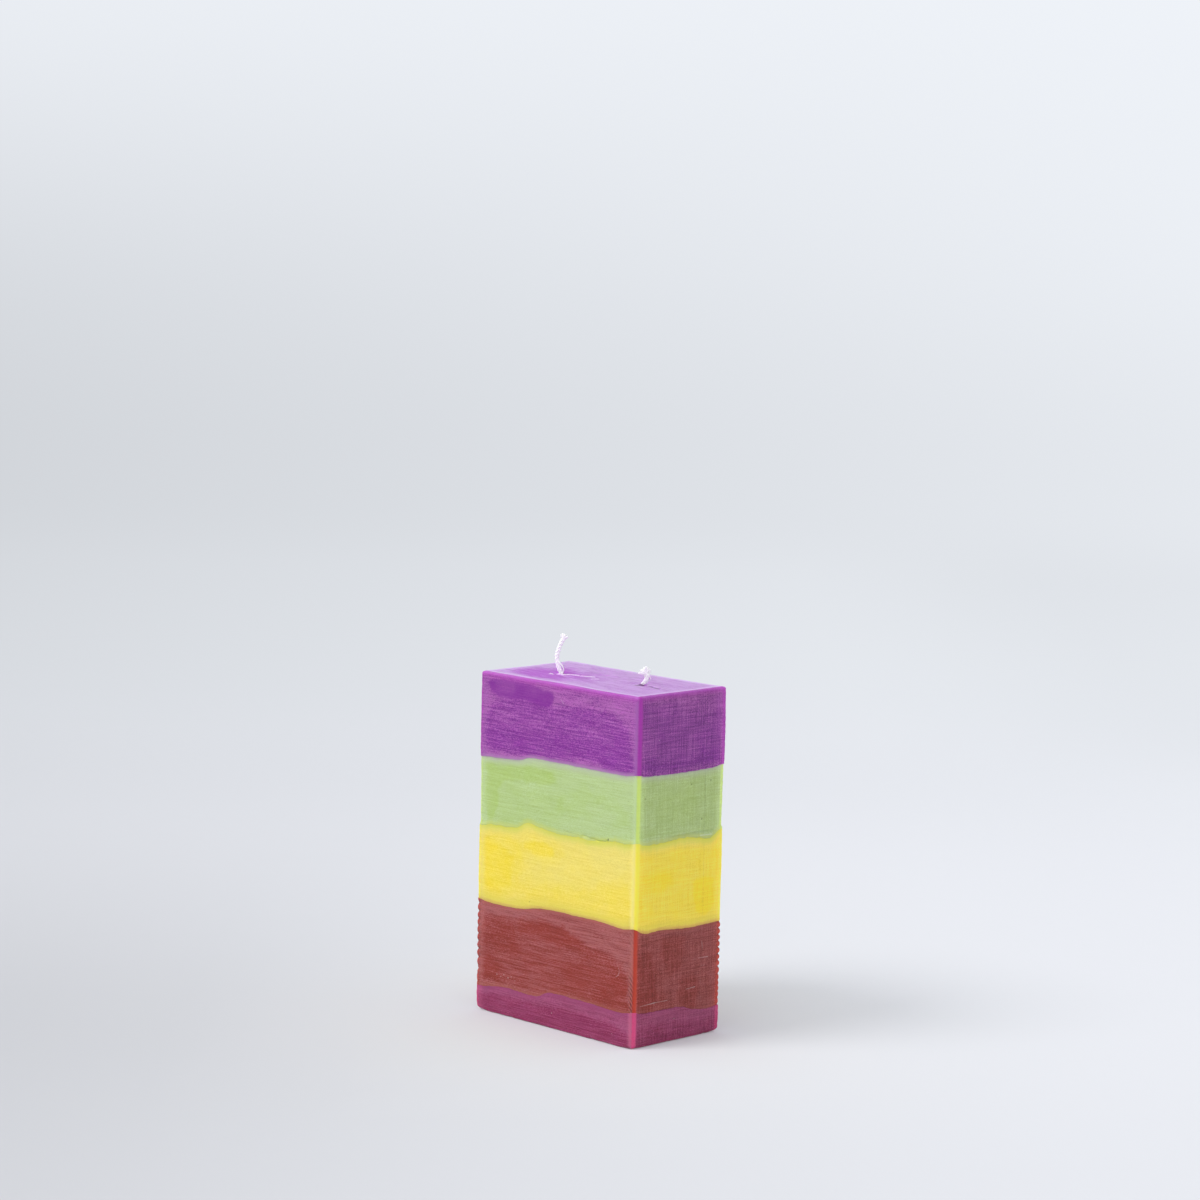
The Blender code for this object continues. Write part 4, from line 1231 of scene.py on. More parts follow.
CRACKS = {
    "green": (
        ("front", (49.5, 58.4), (60.5, 59.0), 0.16), ("front", (60.5, 58.8), (66.0, 59.4), 0.34),
        ("front", (66.0, 59.4), (73.6, 60.0), 0.42), ("front", (73.6, 60.0), (74.8, 58.2), 0.46),
        ("front", (62.0, 57.4), (74.8, 58.2), 0.14), ("side", (19.0, 57.6), (26.0, 57.2), 0.3),
        ("side", (31.0, 57.0), (37.0, 57.2), 0.34), ("side", (37.0, 57.2), (45.0, 57.0), 0.42),
    ),
    "purple": (
        ("top", (21.8, 0.2), (28.5, -1.2), 0.95), ("top", (28.5, -1.2), (34.0, -2.6), 0.75),
        ("top", (20.6, -1.4), (22.8, 0.0), 1.1),
    ),
}


def dots(place, shape, marks):
    """1 inside small round marks and 0 outside: the least of the distances to them, eased."""
    away = [
        place.vector("DISTANCE", place, wall_point(shape, wall, *spot), output=1) / radius
        for wall, *spot, radius in marks
    ]
    return 1.0 - reduce(Wire.least, away).eased(0.45, 1.15) if away else None


def strokes(place, shape, marks):
    """1 along thin scratches and 0 away from them."""
    away = []
    for wall, start, end, half_width in marks:
        here = place.scaled(1.0, 1.0, 0.0) if wall == "top" else place
        start, end = wall_point(shape, wall, *start), wall_point(shape, wall, *end)
        away.append(stroke_distance(here, start, end) / half_width)
    return 1.0 - reduce(Wire.least, away).eased(0.5, 1.3) if away else None


# Stains at the foot and the head of each pour: the colour that shows there, how much of it on
# the wide walls and on the narrow ones, and how far it reaches
BLEEDS = {
    "purple": {"foot": (((0.43, 0.24, 0.445), 0.8, 0.0, 0.9),)},
    "green": {
        "foot": (((0.572, 0.64, 0.16), 0.8, 0.8, 1.3),),
        "head": (((0.475, 0.54, 0.365), 0.85, 0.45, 1.9), ((0.43, 0.38, 0.36), 0.65, 0.55, 0.45)),
    },
    "yellow": {
        "foot": (((0.745, 0.63, 0.085), 0.9, 0.9, 3.2), ((0.64, 0.37, 0.105), 0.7, 0.9, 1.0)),
        "head": (((0.77, 0.685, 0.18), 0.75, 0.8, 3.0), ((0.67, 0.668, 0.098), 0.88, 0.95, 1.7)),
    },
    "red": {
        "foot": (((0.365, 0.085, 0.055), 0.6, 0.1, 1.0),),
        "head": (((0.45, 0.115, 0.09), 0.65, 0.5, 0.8),),
    },
    "plum": {
        "foot": (((0.36, 0.02, 0.11), 0.35, 0.35, 0.8),),
        "head": (((0.318, 0.048, 0.155), 0.65, 0.2, 1.4),),
    },
}


# A painted highlight beside the top's rim, mixed in as its lip
TOP_RIM_HIGHLIGHT = (0.640, 0.470, 0.760)
# The ridges of spilt wax on the top, and a painted highlight on the ridge beside the crack
SPILT_WHITE_AND_HIGHLIGHT = (0.950, 0.900, 0.970)

# Millimetres that red, green and blue light travels in each wax
SCATTER = {
    "plum": (2.4, 0.3, 0.6),
    "red": (2.4, 0.4, 0.2),
    "yellow": (2.6, 2.2, 0.5),
    "green": (2.0, 2.2, 0.9),
    "purple": (2.2, 0.3, 1.8),
}

# Streaks in the bloom: turns in a millimetre along x, y and z, and how much finer detail they have
STREAKS = {
    "bands": ((0.08, 0.08, 0.45), 1.0),
    "hairs": ((0.10, 0.10, 3.0), 0.0),
    "dashes": ((0.70, 0.70, 2.8), 0.0),
    "uprights": ((2.2, 2.2, 0.08), 0.0),
    "specks": ((2.8, 2.8, 3.4), 0.0),
}
# How much of each shows on the wide and on the narrow walls, and what brings the sum to a half
WIDE_STREAKS = ({"bands": 0.06, "hairs": 0.42, "dashes": 0.20, "specks": 0.52}, -0.10)
NARROW_STREAKS = ({"uprights": 0.27, "bands": 0.06, "hairs": 0.26, "specks": 0.45}, -0.02)
# Heights of the two lines scored round the narrow walls, and how deep each is
SCORES = ((14.4, 1.0), (-6.0, 0.3))
WAX_IOR = 1.44


def wax_texture(place, narrow, top, polish, grain):
    """The bloom's streaks, about a half: level ones on the walls and a smear on the top."""
    streaks = {
        kind: place.scaled(*turns).noise(1.0, detail) for kind, (turns, detail) in STREAKS.items()
    }
    wide_wall, narrow_wall = (
        sum(streaks[kind] * weight for kind, weight in weights.items()) + level
        for weights, level in (WIDE_STREAKS, NARROW_STREAKS)
    )
    smear = place.scaled(0.12, 0.9, 1.0).noise(1.0, 3.0, 0.6, 0.6) * 0.7 + grain * 0.3
    wall = wide_wall + (narrow_wall - wide_wall) * narrow
    return (wall + (smear - wall) * top.clamped() - 0.5) * (1.0 - polish) + 0.5


def wax_material(pour, shape, colours):
    """Wax under a bloom that lies in fine mould lines, clearer at the edges and at the seams."""
    material, shader, place = new_material(pour.name + "_wax")
    parts = ("_deep", "_bloom", "_edge")
    deep, pale, clear = (getattr(colours, pour.name + part) for part in parts)
    names = ("bloom", "edge", "narrow", "top", "notch", "polish", "light", "lip")
    bloom, edge, narrow, top, notch, polish, light, lip = map(place.attribute, names)
    is_top = pour.head == "top"
    grain = place.noise(2.6, 2.0, 0.65)
    cloud = place.noise(0.22, 3.0, 0.6, 0.4)
    texture = wax_texture(place, narrow, top, polish, grain)

    veil = (bloom + (texture - 0.5) * (2.2 * pour.grit) + (cloud - 0.5) * 0.12).clamped()
    surface = veil.mixed(deep, pale)
    if is_top:
        # The top's lit copy of the purple, as painted light
        top_wax = veil.mixed(colours.purple_top_deep, colours.purple_top_bloom)
        surface = top.mixed(surface, top_wax)
    contrast = (0.75 + narrow * 0.55) * pour.grit
    # Painted shade where the painted glow falls below 1
    surface = ((0.98 + (texture - 0.5) * contrast) * light.least(1.0)).shaded(surface)
    along = place.made("ShaderNodeSeparateXYZ", inputs={0: place}, output=1)
    lines = [(1.0 - (along - line).size().eased(0.08, 0.35)) * depth for line, depth in SCORES]
    score = sum(lines) * narrow
    surface = (1.0 - score * 0.10).shaded(surface)

    for end, attribute in (("foot", "above_foot"), ("head", "below_head")):
        for stain, wide_share, narrow_share, reach in BLEEDS[pour.name].get(end, ()):
            away = place.attribute(attribute) + (texture - 0.5) * 2.0
            here = narrow * (narrow_share - wide_share) + wide_share
            stained = (1.0 - away.eased(0.0, 2 * reach)) * here * (1.0 - top)
            surface = stained.clamped().mixed(surface, stain)
    # Painted shade or painted light on the narrow walls
    surface = narrow.mixed(surface, pour.painted_side_shading, "MULTIPLY")
    # On the top the lip is a painted highlight along the rim
    lip_colour = top.mixed(pour.lip, TOP_RIM_HIGHLIGHT) if is_top else pour.lip
    surface = (lip * (0.8 + texture * 0.4)).clamped().mixed(surface, lip_colour)
    # Edge colour: clearer wax on the bead, made brighter as painted light
    surface = (edge * (0.65 + texture * 0.5)).clamped().mixed(surface, clear)
    # Painted shade in the notches of the vertical edges
    surface = (1.0 - notch.least(1.0) * 0.62).shaded(surface)

    relief = texture * 1.0 + grain * 0.3 - score * 0.5
    pits = dots(place, shape, PINHOLES[pour.name])
    # Painted shade in the pinholes
    surface = (pits * 0.8).mixed(surface, dimmed(deep, 0.42))
    relief = relief - pits * 4.0
    cracks = strokes(place, shape, CRACKS.get(pour.name, ()))
    if cracks is not None:
        ragged = (cracks * (0.55 + grain * 0.8)).clamped()
        # Painted shade in the cracks
        surface = (ragged * 0.85).mixed(surface, dimmed(deep, 0.30))
    # Pale marks; on the top, spilt wax and a painted highlight beside the crack
    white = top.mixed(dimmed(pale, 0.6, lift=0.35), SPILT_WHITE_AND_HIGHLIGHT)
    scratches = strokes(place, shape, SCRATCHES.get(pour.name, ()))
    for marks in (scratches, dots(place, shape, SPECKS.get(pour.name, ()))):
        if marks is not None:
            broken = (marks * (0.05 + grain * 1.1)).clamped()
            surface = broken.mixed(surface, white)
            relief = relief + broken * 1.5
    feed(shader, {
        "Base Color": surface,
        # Painted glow: emission where the painted glow rises above 1
        "Emission Color": ((light - 1.0).most(0.0) * 0.7).shaded(surface),
        "Emission Strength": 1.0,
        "Roughness": (0.40 + veil * 0.16 + top * (0.12 - veil * 0.32)).clamped(),
        "Normal": relief.bump(0.05, 0.6),
        "Subsurface Weight": 0.5,
        "Subsurface Radius": SCATTER[pour.name],
        "Subsurface Scale": 1.0 * MM,
        "IOR": WAX_IOR,
    })
    return material


# Sizes of the tabs and bores that the wax is cut round
TAB_SHEET = 0.35 * MM
TAB_RIM = 1.6 * MM
TAB_STEP_WIDTH = 0.8 * MM
TAB_STEP = 0.5 * MM
NECK_FOOT = 2.3 * MM
NECK_HEAD = 1.75 * MM
BORE_RADIUS = 1.1 * MM
CUT_GAP = 0.25 * MM
OVERCUT = 2 * MM


def wax_cutters(shape):
    """The pockets of both tabs and the bores of both wicks, as lathe-turned solids."""
    low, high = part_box("left_wick_tab")
    radius = (high.x - low.x) / 2 + CUT_GAP
    ceiling = low.z + TAB_SHEET + CUT_GAP
    middle = low.z + TAB_STEP + TAB_SHEET + CUT_GAP
    pocket = (
        (radius, -OVERCUT),
        (radius, ceiling),
        (radius - TAB_RIM, ceiling),
        (radius - TAB_RIM - TAB_STEP_WIDTH, middle),
        (NECK_FOOT, middle),
        (NECK_HEAD, high.z + CUT_GAP),
    )
    bore = ((BORE_RADIUS, -OVERCUT), (BORE_RADIUS, shape.height + 2 * OVERCUT))
    return lathe_cutter("pockets", pocket, 40), lathe_cutter("bores", bore, 16)


def lathe_cutter(name, profile, sides):
    """Turns a profile of radius and height about each wick: radius times cosine and sine."""
    radius, z = np.array(profile).T[:, :, None]
    around = np.arange(sides) / sides * 2 * math.pi
    grid = np.arange(len(profile) * sides).reshape(-1, sides)
    points = []
    faces = []
    for number, (x, y) in enumerate(wick_places().values()):
        first = number * grid.size
        ring = (x + radius * np.cos(around), y + radius * np.sin(around), z + 0 * around)
        points.append(np.stack(ring, axis=-1).reshape(-1, 3))
        faces += (first + grid_faces(*grid.shape)).tolist()
        faces += [(first + grid[0][::-1]).tolist(), (first + grid[-1]).tolist()]
    return new_object(name, np.concatenate(points), faces, {})


def cut(piece, cutter):
    """Cuts one solid out of another for good."""
    modifier = piece.modifiers.new(cutter.name, "BOOLEAN")
    modifier.object = cutter
    modifier.operation = "DIFFERENCE"
    modifier.solver = "EXACT"
    with bpy.context.temp_override(object=piece, active_object=piece, selected_objects=[piece]):
        bpy.ops.object.modifier_apply(modifier=modifier.name)


def directions(route):
    """The direction of a route at each of its points, one long."""
    along = np.gradient(route, axis=0)
    return along / np.linalg.norm(along, axis=1, keepdims=True)


def tube(route, radius, sides):
    """Points of a round tube: the route plus the radius times cosine and sine of its two sides.

    The sides are square to the route's own direction at each point, and the radius may
    change along it. The result has one row for each point of the route.
    """
    along = directions(route)
    guide = np.array((0.31, 0.27, 0.91) if abs(along[0][2]) < 0.6 else (0.9, 0.4, 0.1))
    side = np.cross(along, guide)
    side /= np.linalg.norm(side, axis=1, keepdims=True)
    other = np.cross(along, side)[:, None, :]
    around = (np.arange(sides) / sides * 2 * math.pi)[None, :, None]
    radius = np.broadcast_to(radius, len(route))[:, None, None]
    ring = np.cos(around) * side[:, None, :] + np.sin(around) * other
    return route[:, None, :] + radius * ring


# The order of a face's corners that turns it to the other side
TURNED = [0, 3, 2, 1]


def face_out(mesh):
    """Turns every face outward."""
    bmesh.ops.recalc_face_normals(mesh, faces=mesh.faces)


class MeshHeap:
    """Collects tubes into one mesh, with a twist coordinate for their yarn."""

    def __init__(self):
        self.points = []
        self.faces = []
        self.along = []
        self.around = []
        self.count = 0

    def add(self, rings, lay):
        """Adds a tube of rings with flat ends. The lay is the length along it, per ring."""
        rows, sides, _ = rings.shape
        here = self.count + np.arange(rows * sides).reshape(rows, sides)
        self.faces += (self.count + grid_faces(rows, sides)[:, TURNED]).tolist()
        self.faces += [here[0].tolist(), here[-1][::-1].tolist()]
        self.points.append(rings.reshape(-1, 3))
        self.along.append(np.repeat(lay / MM, sides))
        self.around.append(np.tile(np.arange(sides) / sides, rows))
        self.count += rows * sides

    def made(self, name):
        attributes = {"along": np.concatenate(self.along), "around": np.concatenate(self.around)}
        piece = new_object(name, np.concatenate(self.points), self.faces, attributes)
        return reworked(piece, face_out)


def curve_through(points, step):
    """A Catmull-Rom curve through points, read at even steps of about the given length."""
    points = np.array(points, dtype=float)
    padded = np.vstack((2 * points[0] - points[1], points, 2 * points[-1] - points[-2]))
    t = np.linspace(0, 1, 20, endpoint=False)[:, None]
    spans = [catmull_rom(*span, t) for span in zip(padded, padded[1:], padded[2:], padded[3:])]
    fine = np.vstack(spans + [points[-1:]])
    stretches = np.linalg.norm(np.diff(fine, axis=0), axis=1)
    lengths = np.concatenate(([0.0], np.cumsum(stretches)))
    wanted = np.linspace(0, lengths[-1], max(int(lengths[-1] / step), 2) + 1)
    places = [np.interp(wanted, lengths, fine[:, axis]) for axis in range(3)]
    return np.stack(places, axis=-1), wanted


# The wicks lean and bend in one plane. Aside is square to it
LEAN = np.array((0.699, 0.715, 0.0))
ASIDE = np.array((-0.715, 0.699, 0.0))
UP = np.array((0.0, 0.0, 1.0))
WICK_AXES = np.stack((LEAN, ASIDE, UP))

# Millimetres of lean, of offset and of height over the top, down the middle of each wick
WICK_ROUTES = {
    "left": (
        (-0.1, 0.0, 0.0), (-0.9, 0.0, 1.7), (-1.5, 0.0, 3.6), (-1.8, 0.0, 5.6), (-1.8, 0.0, 7.6),
        (-1.3, 0.0, 9.8), (-0.4, 0.0, 12.2), (0.4, 0.0, 13.8), (0.8, 0.0, 14.6),
    ),
    "right": (
        (-0.2, 0.0, 0.0), (0.5, 0.0, 0.8), (1.1, 0.0, 1.6), (1.4, 0.0, 2.5), (1.3, 0.0, 3.4),
        (1.0, 0.0, 4.3),
    ),
}
LOOSE_YARNS = {
    "left": (
        (
            (-1.6, -0.4, 5.0), (-0.7, -0.8, 4.2), (0.4, -1.0, 3.0), (0.9, -0.9, 1.6),
            (0.7, -0.7, 0.4), (0.2, -0.6, -0.4),
        ),
    ),
    "right": (
        ((1.2, -0.3, 4.4), (2.0, -0.6, 4.3), (2.6, -0.7, 3.4), (3.1, -0.6, 2.2)),
        ((1.2, -0.3, 4.2), (2.1, -0.8, 3.9), (2.5, -0.9, 3.0)),
    ),
}
# For each wick's frayed end: where its plies part, and the ends they reach, as lean and height
TIP_FANS = {
    "left": (
        (0.5, 13.8),
        (
            (-0.5, 15.9), (0.0, 16.2), (0.4, 16.2), (0.8, 16.1), (1.2, 15.9), (1.6, 15.6),
            (2.1, 15.2), (2.3, 14.9), (0.7, 15.7), (1.4, 15.2),
        ),
    ),
    "right": (
        (1.1, 4.0),
        (
            (-1.7, 4.6), (-1.5, 5.2), (-1.1, 5.8), (-0.7, 5.2), (-0.6, 6.2), (-0.1, 6.5),
            (0.1, 5.6), (0.4, 6.9), (0.8, 6.2), (1.0, 7.3), (1.4, 6.6), (1.8, 7.0), (2.2, 6.4),
            (2.6, 5.9), (2.7, 5.2), (1.7, 5.5), (-1.2, 4.5), (-0.7, 4.4), (-0.2, 4.9), (2.3, 4.6),
            (1.8, 4.5), (0.5, 5.3),
        ),
    ),
}
PLIES_EACH = 4
FIBRES = 60
YARNS = 3
YARN_RADIUS = 0.52 * MM
YARN_TAPER = 0.25
FRAYED_LENGTH = 1.6 * MM
FRAYED_SPREAD = 0.9
LOOSE_YARN_RADIUS = 0.34 * MM
# Radius of a ply and of a fibre, in millimetres, at its start and at its end
PLY_RADIUS = (0.36, 0.24)
FIBRE_RADIUS = (0.05, 0.02)


def on_wick(place, points, top):
    """Points in the candle's frame, from millimetres of lean, offset and height."""
    return np.array((*place, top)) + MM * (np.array(points, dtype=float) @ WICK_AXES)


def braided_wick(side, place, shape):
    """Three yarns that cross in a flat braid, with loose yarns and fine fibres.

    A yarn keeps to the middle route, plus the braid's half width times the sine of its
    turn and its half thickness times the sine of twice its turn.
    """
    heap = MeshHeap()
    random = np.random.default_rng(71 if side == "left" else 72)
    top = shape.height
    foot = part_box(side + "_wick")[0].z
    inside = [np.array((*place, z)) for z in np.linspace(foot, top - 3 * MM, 8)]
    stub = [on_wick(place, point, top) for point in WICK_ROUTES[side]]
    route, lay = curve_through(inside + stub, 0.22 * MM)
    across = np.cross(ASIDE, directions(route))
    half_width = shape.wick_width / 2 - YARN_RADIUS
    half_thickness = shape.wick_thickness / 2 - YARN_RADIUS
    fray = ease((lay - lay[-1] + FRAYED_LENGTH) / FRAYED_LENGTH)
    spread = (1 + FRAYED_SPREAD * fray)[:, None]
    for number in range(YARNS):
        turn = 2 * math.pi * (lay / shape.braid_pitch + number / YARNS)
        swing = half_width * np.sin(turn)[:, None] * spread
        lift = half_thickness * np.sin(2 * turn)[:, None] * spread
        ripple = 1 + 0.08 * np.sin(lay / (0.9 * MM) + number)
        radius = YARN_RADIUS * ripple * (1 - YARN_TAPER * fray)
        heap.add(tube(route + swing * across + lift * ASIDE, radius, 10), lay)
    for points in LOOSE_YARNS[side]:
        loose, loose_lay = curve_through([on_wick(place, at, top) for at in points], 0.15 * MM)
        narrowing = np.linspace(1.0, 0.45, len(loose))
        heap.add(tube(loose, LOOSE_YARN_RADIUS * narrowing, 7), loose_lay)
    add_plies(heap, random, place, top, TIP_FANS[side])
    add_fibres(heap, random, route, across, top)
    return heap.made(side + "_wick_braid")


def add_plies(heap, random, place, top, fan):
    """Plies that come loose at the cut end and spread like a brush, each on its own bow."""
    (start_lean, start_height), ends = fan
    for end_lean, end_height in ends:
        for _ in range(PLIES_EACH):
            aside = random.uniform(-0.9, 0.9)
            lean = end_lean + random.uniform(-0.25, 0.25)
            height = end_height + random.uniform(-0.30, 0.10)
            start = (start_lean + random.uniform(-0.25, 0.25), 0.3 * aside, start_height)
            bow_lean = (start_lean + lean) / 2 + random.uniform(-0.2, 0.2)
            bow = (bow_lean, 0.8 * aside, (start_height + height) / 2 + random.uniform(-0.1, 0.3))
            points = [on_wick(place, point, top) for point in (start, bow, (lean, aside, height))]
            ply, lay = curve_through(points, 0.2 * MM)
            heap.add(tube(ply, np.linspace(*PLY_RADIUS, len(ply)) * MM, 6), lay)


def add_fibres(heap, random, route, across, top):
    """Short fine hairs along the yarns."""
    free = np.flatnonzero(route[:, 2] > top + 0.5 * MM)
    for _ in range(FIBRES):
        here = random.choice(free)
        side = across[here] * random.normal() + ASIDE * random.normal()
        side = side / np.linalg.norm(side)
        start = route[here] + side * 0.55 * MM
        rise = UP * random.uniform(-0.2, 0.8)
        end = start + (side * random.uniform(0.3, 0.9) + rise) * random.uniform(0.5, 0.9) * MM
        middle = (start + end) / 2 + random.normal(0, 0.1, 3) * MM
        fibre, lay = curve_through((start, middle, end), 0.25 * MM)
        heap.add(tube(fibre, np.linspace(*FIBRE_RADIUS, len(fibre)) * MM, 3), lay)


# The yarn's colour where it has drawn up wax
WAX_STAIN = (0.78, 0.62, 0.84)


def cotton_material(shape, colours):
    """White cotton yarn with a painted glow and painted shade between its twisted plies, stained by
    the wax at the foot.
    """
    material, shader, place = new_material("cotton_yarn")
    twist = place.attribute("along") * 1.6 + place.attribute("around") * 3.0
    plies = twist.maths("PINGPONG", twist, 0.5) * 2.0
    fuzz = place.noise(6.0, 3.0, 0.7)
    height = place.made("ShaderNodeSeparateXYZ", inputs={0: place}, output=2) - shape.height / MM
    stain = (1.0 - height.eased(-0.5, 3.6)) * (0.10 + fuzz * 0.5)
    tinted = stain.clamped().mixed(colours.cotton, WAX_STAIN)
    lightness = 0.95 + plies * 0.04 + fuzz * 0.05
    feed(shader, {
        "Base Color": lightness.shaded(tinted),
        # Painted glow: the yarn lit a little from within, for light through its fibres
        "Emission Color": (lightness * 0.16).shaded(tinted),
        "Emission Strength": 1.0,
        "Roughness": (0.78 + fuzz * 0.2).clamped(),
        "Normal": (plies + fuzz * 0.4).bump(0.06, 0.6),
        "Sheen Weight": 0.6,
        "Sheen Roughness": 0.6,
    })
    return material


def tab_material(colours):
    """Tinplate: faint rolling lines, a cloudy tin coat and a film of wax in places."""
    material, shader, place = new_material("tinplate")
    rolling = place.scaled(0.3, 7.0, 0.3).noise(1.0, 3.0, 0.6)
    cloud = place.noise(0.6, 4.0, 0.6)
    film = cloud.eased(0.52, 0.66)
    coat = (rolling * 0.6 + cloud * 0.4).clamped().mixed(colours.metal, dimmed(colours.metal, 0.78))
    feed(shader, {
        "Base Color": (film * 0.55).mixed(coat, colours.plum_bloom),
        "Metallic": 1.0 - film * 0.7,
        "Roughness": (0.24 + rolling * 0.22 + film * 0.25).clamped(),
        "Normal": (rolling + film).bump(0.02, 0.5),
    })
    return material


# Metres of the sheet: half its width, how far it lies to the near side, where its bend starts, the
# bend's radius and its height
SWEEP_SIZES = (4.0, 2.6, 1.5, 1.6, 5.0)


def floor_sweep(reach, near, rise_start, curve, height):
    """The floor and backdrop as one sheet: flat, then a quarter circle, then upright.

    Its profile is the distance away and the height, carried straight across. Run is the
    length along the profile from the candle.
    """
    flat = np.linspace(-near, rise_start, 90)
    bend = np.linspace(0, math.pi / 2, 50)[1:]
    wall = np.linspace(curve, height, 11)[1:]
    upright = np.full(len(wall), rise_start + curve)
    away = np.concatenate((flat, rise_start + curve * np.sin(bend), upright))
    up = np.concatenate((np.zeros_like(flat), curve * (1 - np.cos(bend)), wall))
    bent = rise_start + curve * math.pi / 2
    run = np.concatenate((flat, rise_start + curve * bend, bent + wall - curve))
    across = np.linspace(-reach, reach, 120)[:, None]
    return away + 0 * across, across + 0 * away, up + 0 * across, run + 0 * across


def paper_tone(run, across):
    """Lightness of the paper: a little darker to the left, and in the sheet's far bend.

    It is a level, less one eased step down to the bend, plus one up beyond it, plus a
    slope across that grows fainter with the distance, all dimmed a little round the candle as
    painted shadow.
    """
    level = 0.775 - 0.034 * ease((run - 0.3) / 1.5) + 0.15 * ease((run - 1.95) / 1.15)
    level = level - 0.03 * ease(-run / 0.25)
    slope = 0.10 - 0.03 * ease(run) - 0.05 * ease((run - 2.3) / 0.6)
    side = np.clip(across / (0.24 + 0.17 * np.maximum(run, -0.5)), -1.3, 1.3)
    far = window(run, 0.65, 1.7, 0.3) * (1 - 2 * ease((across - 0.15) / 0.25))
    # Painted shadow round the candle: near it, to its left, beside it and to its right
    near = ease((0.45 - run) / 0.8)
    left = 0.09 * bell(run, 0.05, 0.3) * ease((0.02 - across) / 0.24)
    beside_it = 0.035 * bell(run, -0.03, 0.12) * ease(-across / 0.06)
    right = 0.03 * bell(run, 0.1, 0.5) * ease((across - 0.1) / 0.2)
    return (level + slope * side) * (1 + 0.03 * far - 0.06 * near - left - beside_it - right)


def paper_glow(away):
    """How evenly bright the paper is seen: little by the candle, more round it, all far off."""
    return 0.15 + 0.25 * ease((away - 0.03) / 0.14) + 0.60 * ease((away - 0.35) / 0.8)


def make_sweep(studio):
    """Lays the sheet a hair under the candle, squarely behind it as the camera sees it."""
    away, across, up, run = floor_sweep(*SWEEP_SIZES)
    turn = studio.azimuth
    x = -away * math.sin(turn) + across * math.cos(turn)
    y = away * math.cos(turn) + across * math.sin(turn)
    points = np.stack((x, y, up - 0.1 * MM), axis=-1).reshape(-1, 3)
    faces = grid_faces(*away.shape, closed=False)[:, TURNED]
    attributes = {"tone": paper_tone(run, across), "glow": paper_glow(np.hypot(run, across))}
    return new_object("studio_sweep", points, faces, attributes)


def sweep_material(studio):
    """Pale paper that takes the candle's shadow, evenly bright where it is seen far off."""
    material, shader, place = new_material("studio_paper")
    tone = place.attribute("tone")
    near = tone.shaded(studio.near_paper)
    feed(shader, {"Base Color": near, "Roughness": 1.0, "Specular IOR Level": 0.0})
    kinds = ("Is Camera Ray", "Is Glossy Ray", "Is Transmission Ray")
    camera, glossy, through = (place.made("ShaderNodeLightPath", output=kind) for kind in kinds)
    glow = place.attribute("glow") * camera.most(glossy).most(through)
    light = {"Color": tone.shaded(studio.paper), "Strength": 1.0}
    ways = {
        0: glow,
        1: Wire(material.node_tree, shader.outputs[0]),
        2: place.made("ShaderNodeEmission", inputs=light),
    }
    paper = place.made("ShaderNodeMixShader", inputs=ways)
    feed(material.node_tree.nodes["Material Output"], {"Surface": paper})
    return material


def make_camera(studio):
    """Stands the camera at its measured place, turned by azimuth, elevation and roll."""
    camera = bpy.data.objects.new("camera", bpy.data.cameras.new("camera"))
    camera.data.sensor_width = 36.0
    camera.data.lens = studio.lens
    camera.data.clip_start = 0.01
    camera.data.clip_end = 50.0
    turn, rise, roll = studio.azimuth, studio.elevation, studio.roll
    back = Vector((
        math.sin(turn) * math.cos(rise), -math.cos(turn) * math.cos(rise), math.sin(rise)
    ))
    level = Vector((math.cos(turn), math.sin(turn), 0.0))
    upright = back.cross(level)
    right = level * math.cos(roll) + upright * math.sin(roll)
    up = upright * math.cos(roll) - level * math.sin(roll)
    axes = Matrix((right, up, back)).transposed().to_4x4()
    camera.matrix_world = Matrix.Translation(studio.camera_place) @ axes
    bpy.context.scene.collection.objects.link(camera)
    bpy.context.scene.camera = camera


SKY_TINT = (0.95, 0.975, 1.0)
LAMP_PLACE = (-0.42, -1.05, 1.30)
LAMP_TARGET = (0.0, 0.0, 0.05)
LAMP_SIZE = 0.75


def make_lamp(name, place, target, size, power):
    """A round soft lamp that faces its target and isn't seen itself."""
    data = bpy.data.lights.new(name, "AREA")
    data.shape = "DISK"
    data.size = size
    data.energy = power
    lamp = bpy.data.objects.new(name, data)
    lamp.location = place
    lamp.visible_camera = False
    lamp.rotation_euler = (Vector(target) - Vector(place)).to_track_quat("-Z", "Y").to_euler()
    bpy.context.scene.collection.objects.link(lamp)


class CANDLE_OT_pour_wax(bpy.types.Operator):
    """Pour the five colours of wax, one on the other"""

    bl_idname = "candle.pour_wax"
    bl_label = "Pour the wax"

    def execute(self, context):
        shape = context.scene.candle_shape
        colours = context.scene.candle_colours
        outline = Outline(shape)
        surfaces = set_surfaces(shape)
        pockets, bores = wax_cutters(shape)
        for pour in POURS:
            piece = pour_surface(pour, outline, surfaces)
            if pour.name == "plum":
                cut(piece, pockets)
            cut(piece, bores)
            piece.data.shade_smooth()
            piece.data.set_sharp_from_angle(angle=math.radians(50))
            piece.data.materials.clear()
            piece.data.materials.append(wax_material(pour, shape, colours))
            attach(piece, "root")
            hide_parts(pour.name + "_layer")
        for cutter in (pockets, bores):
            bpy.data.objects.remove(cutter, do_unlink=True)
        return {"FINISHED"}


class CANDLE_OT_braid_wicks(bpy.types.Operator):
    """Braid both wicks and fray their ends"""

    bl_idname = "candle.braid_wicks"
    bl_label = "Braid the wicks"

    def execute(self, context):
        shape = context.scene.candle_shape
        material = cotton_material(shape, context.scene.candle_colours)
        for side, place in wick_places().items():
            piece = braided_wick(side, place, shape)
            piece.data.materials.append(material)
            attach(piece, "root")
            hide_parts(side + "_wick")
        return {"FINISHED"}


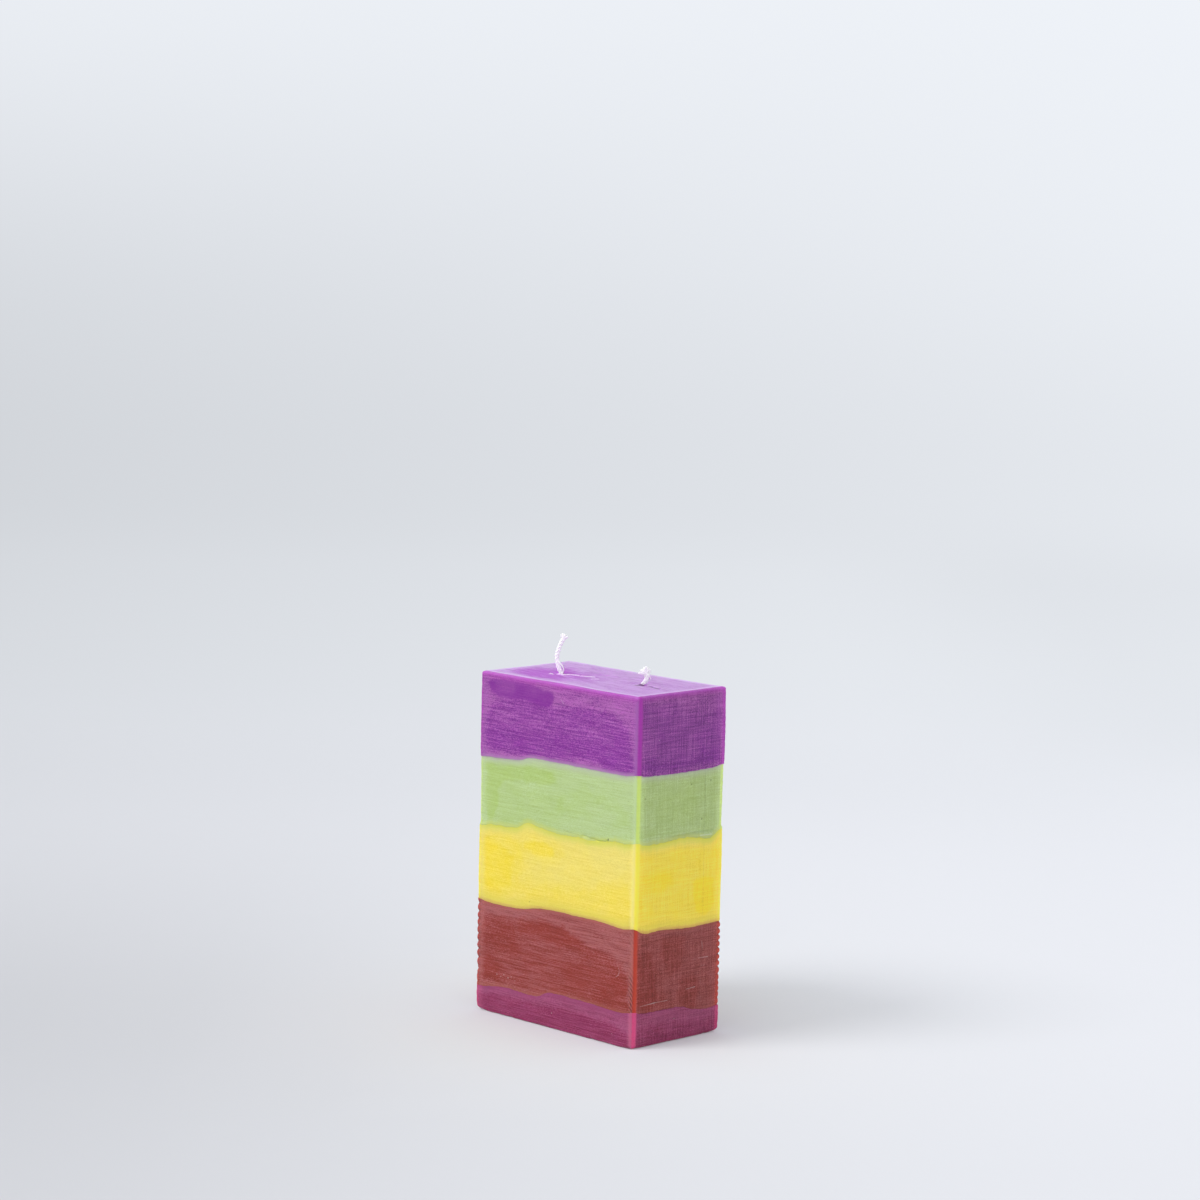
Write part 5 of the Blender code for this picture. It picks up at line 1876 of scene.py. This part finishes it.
class CANDLE_OT_finish_tabs(bpy.types.Operator):
    """Give the frame's two wick tabs their tinplate"""

    bl_idname = "candle.finish_tabs"
    bl_label = "Finish the tabs"

    def execute(self, context):
        material = tab_material(context.scene.candle_colours)
        for side in ("left", "right"):
            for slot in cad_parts[side + "_wick_tab"].material_slots:
                slot.material = material
        return {"FINISHED"}


class CANDLE_OT_light_studio(bpy.types.Operator):
    """Lay the paper sweep, set the lamps and stand the camera in its place"""

    bl_idname = "candle.light_studio"
    bl_label = "Light the studio"

    def execute(self, context):
        studio = context.scene.candle_studio
        sweep = make_sweep(studio)
        sweep.data.materials.append(sweep_material(studio))
        world = bpy.data.worlds.new("studio_air")
        world.use_nodes = True
        feed(world.node_tree.nodes["Background"], {"Color": SKY_TINT, "Strength": studio.sky})
        context.scene.world = world
        make_lamp("key_lamp", LAMP_PLACE, LAMP_TARGET, LAMP_SIZE, studio.key)
        make_camera(studio)
        context.scene.view_settings.view_transform = "Standard"
        return {"FINISHED"}


class CANDLE_PT_panel(bpy.types.Panel):
    """Lists the candle's steps and the sizes and colours behind them"""

    bl_label = "Candle"
    bl_idname = "CANDLE_PT_panel"
    bl_space_type = "VIEW_3D"
    bl_region_type = "UI"
    bl_category = "Candle"

    def draw(self, context):
        for operator in OPERATORS:
            self.layout.operator(operator.bl_idname)
        for group in (getattr(context.scene, name) for name in GROUPS):
            box = self.layout.box()
            for name in group.bl_rna.properties.keys():
                if name not in {"rna_type", "name"}:
                    box.prop(group, name)


GROUPS = {
    "candle_shape": CandleShape,
    "candle_colours": CandleColours,
    "candle_studio": CandleStudio,
}
OPERATORS = (
    CANDLE_OT_pour_wax, CANDLE_OT_braid_wicks, CANDLE_OT_finish_tabs, CANDLE_OT_light_studio,
)


def register():
    for name, group in GROUPS.items():
        bpy.utils.register_class(group)
        setattr(bpy.types.Scene, name, PointerProperty(type=group))
    for item in (*OPERATORS, CANDLE_PT_panel):
        bpy.utils.register_class(item)


def unregister():
    for item in (CANDLE_PT_panel, *reversed(OPERATORS)):
        bpy.utils.unregister_class(item)
    for name, group in GROUPS.items():
        delattr(bpy.types.Scene, name)
        bpy.utils.unregister_class(group)


def main():
    register()
    bpy.ops.candle.pour_wax()
    bpy.ops.candle.braid_wicks()
    bpy.ops.candle.finish_tabs()
    bpy.ops.candle.light_studio()


if __name__ == "__main__":
    main()
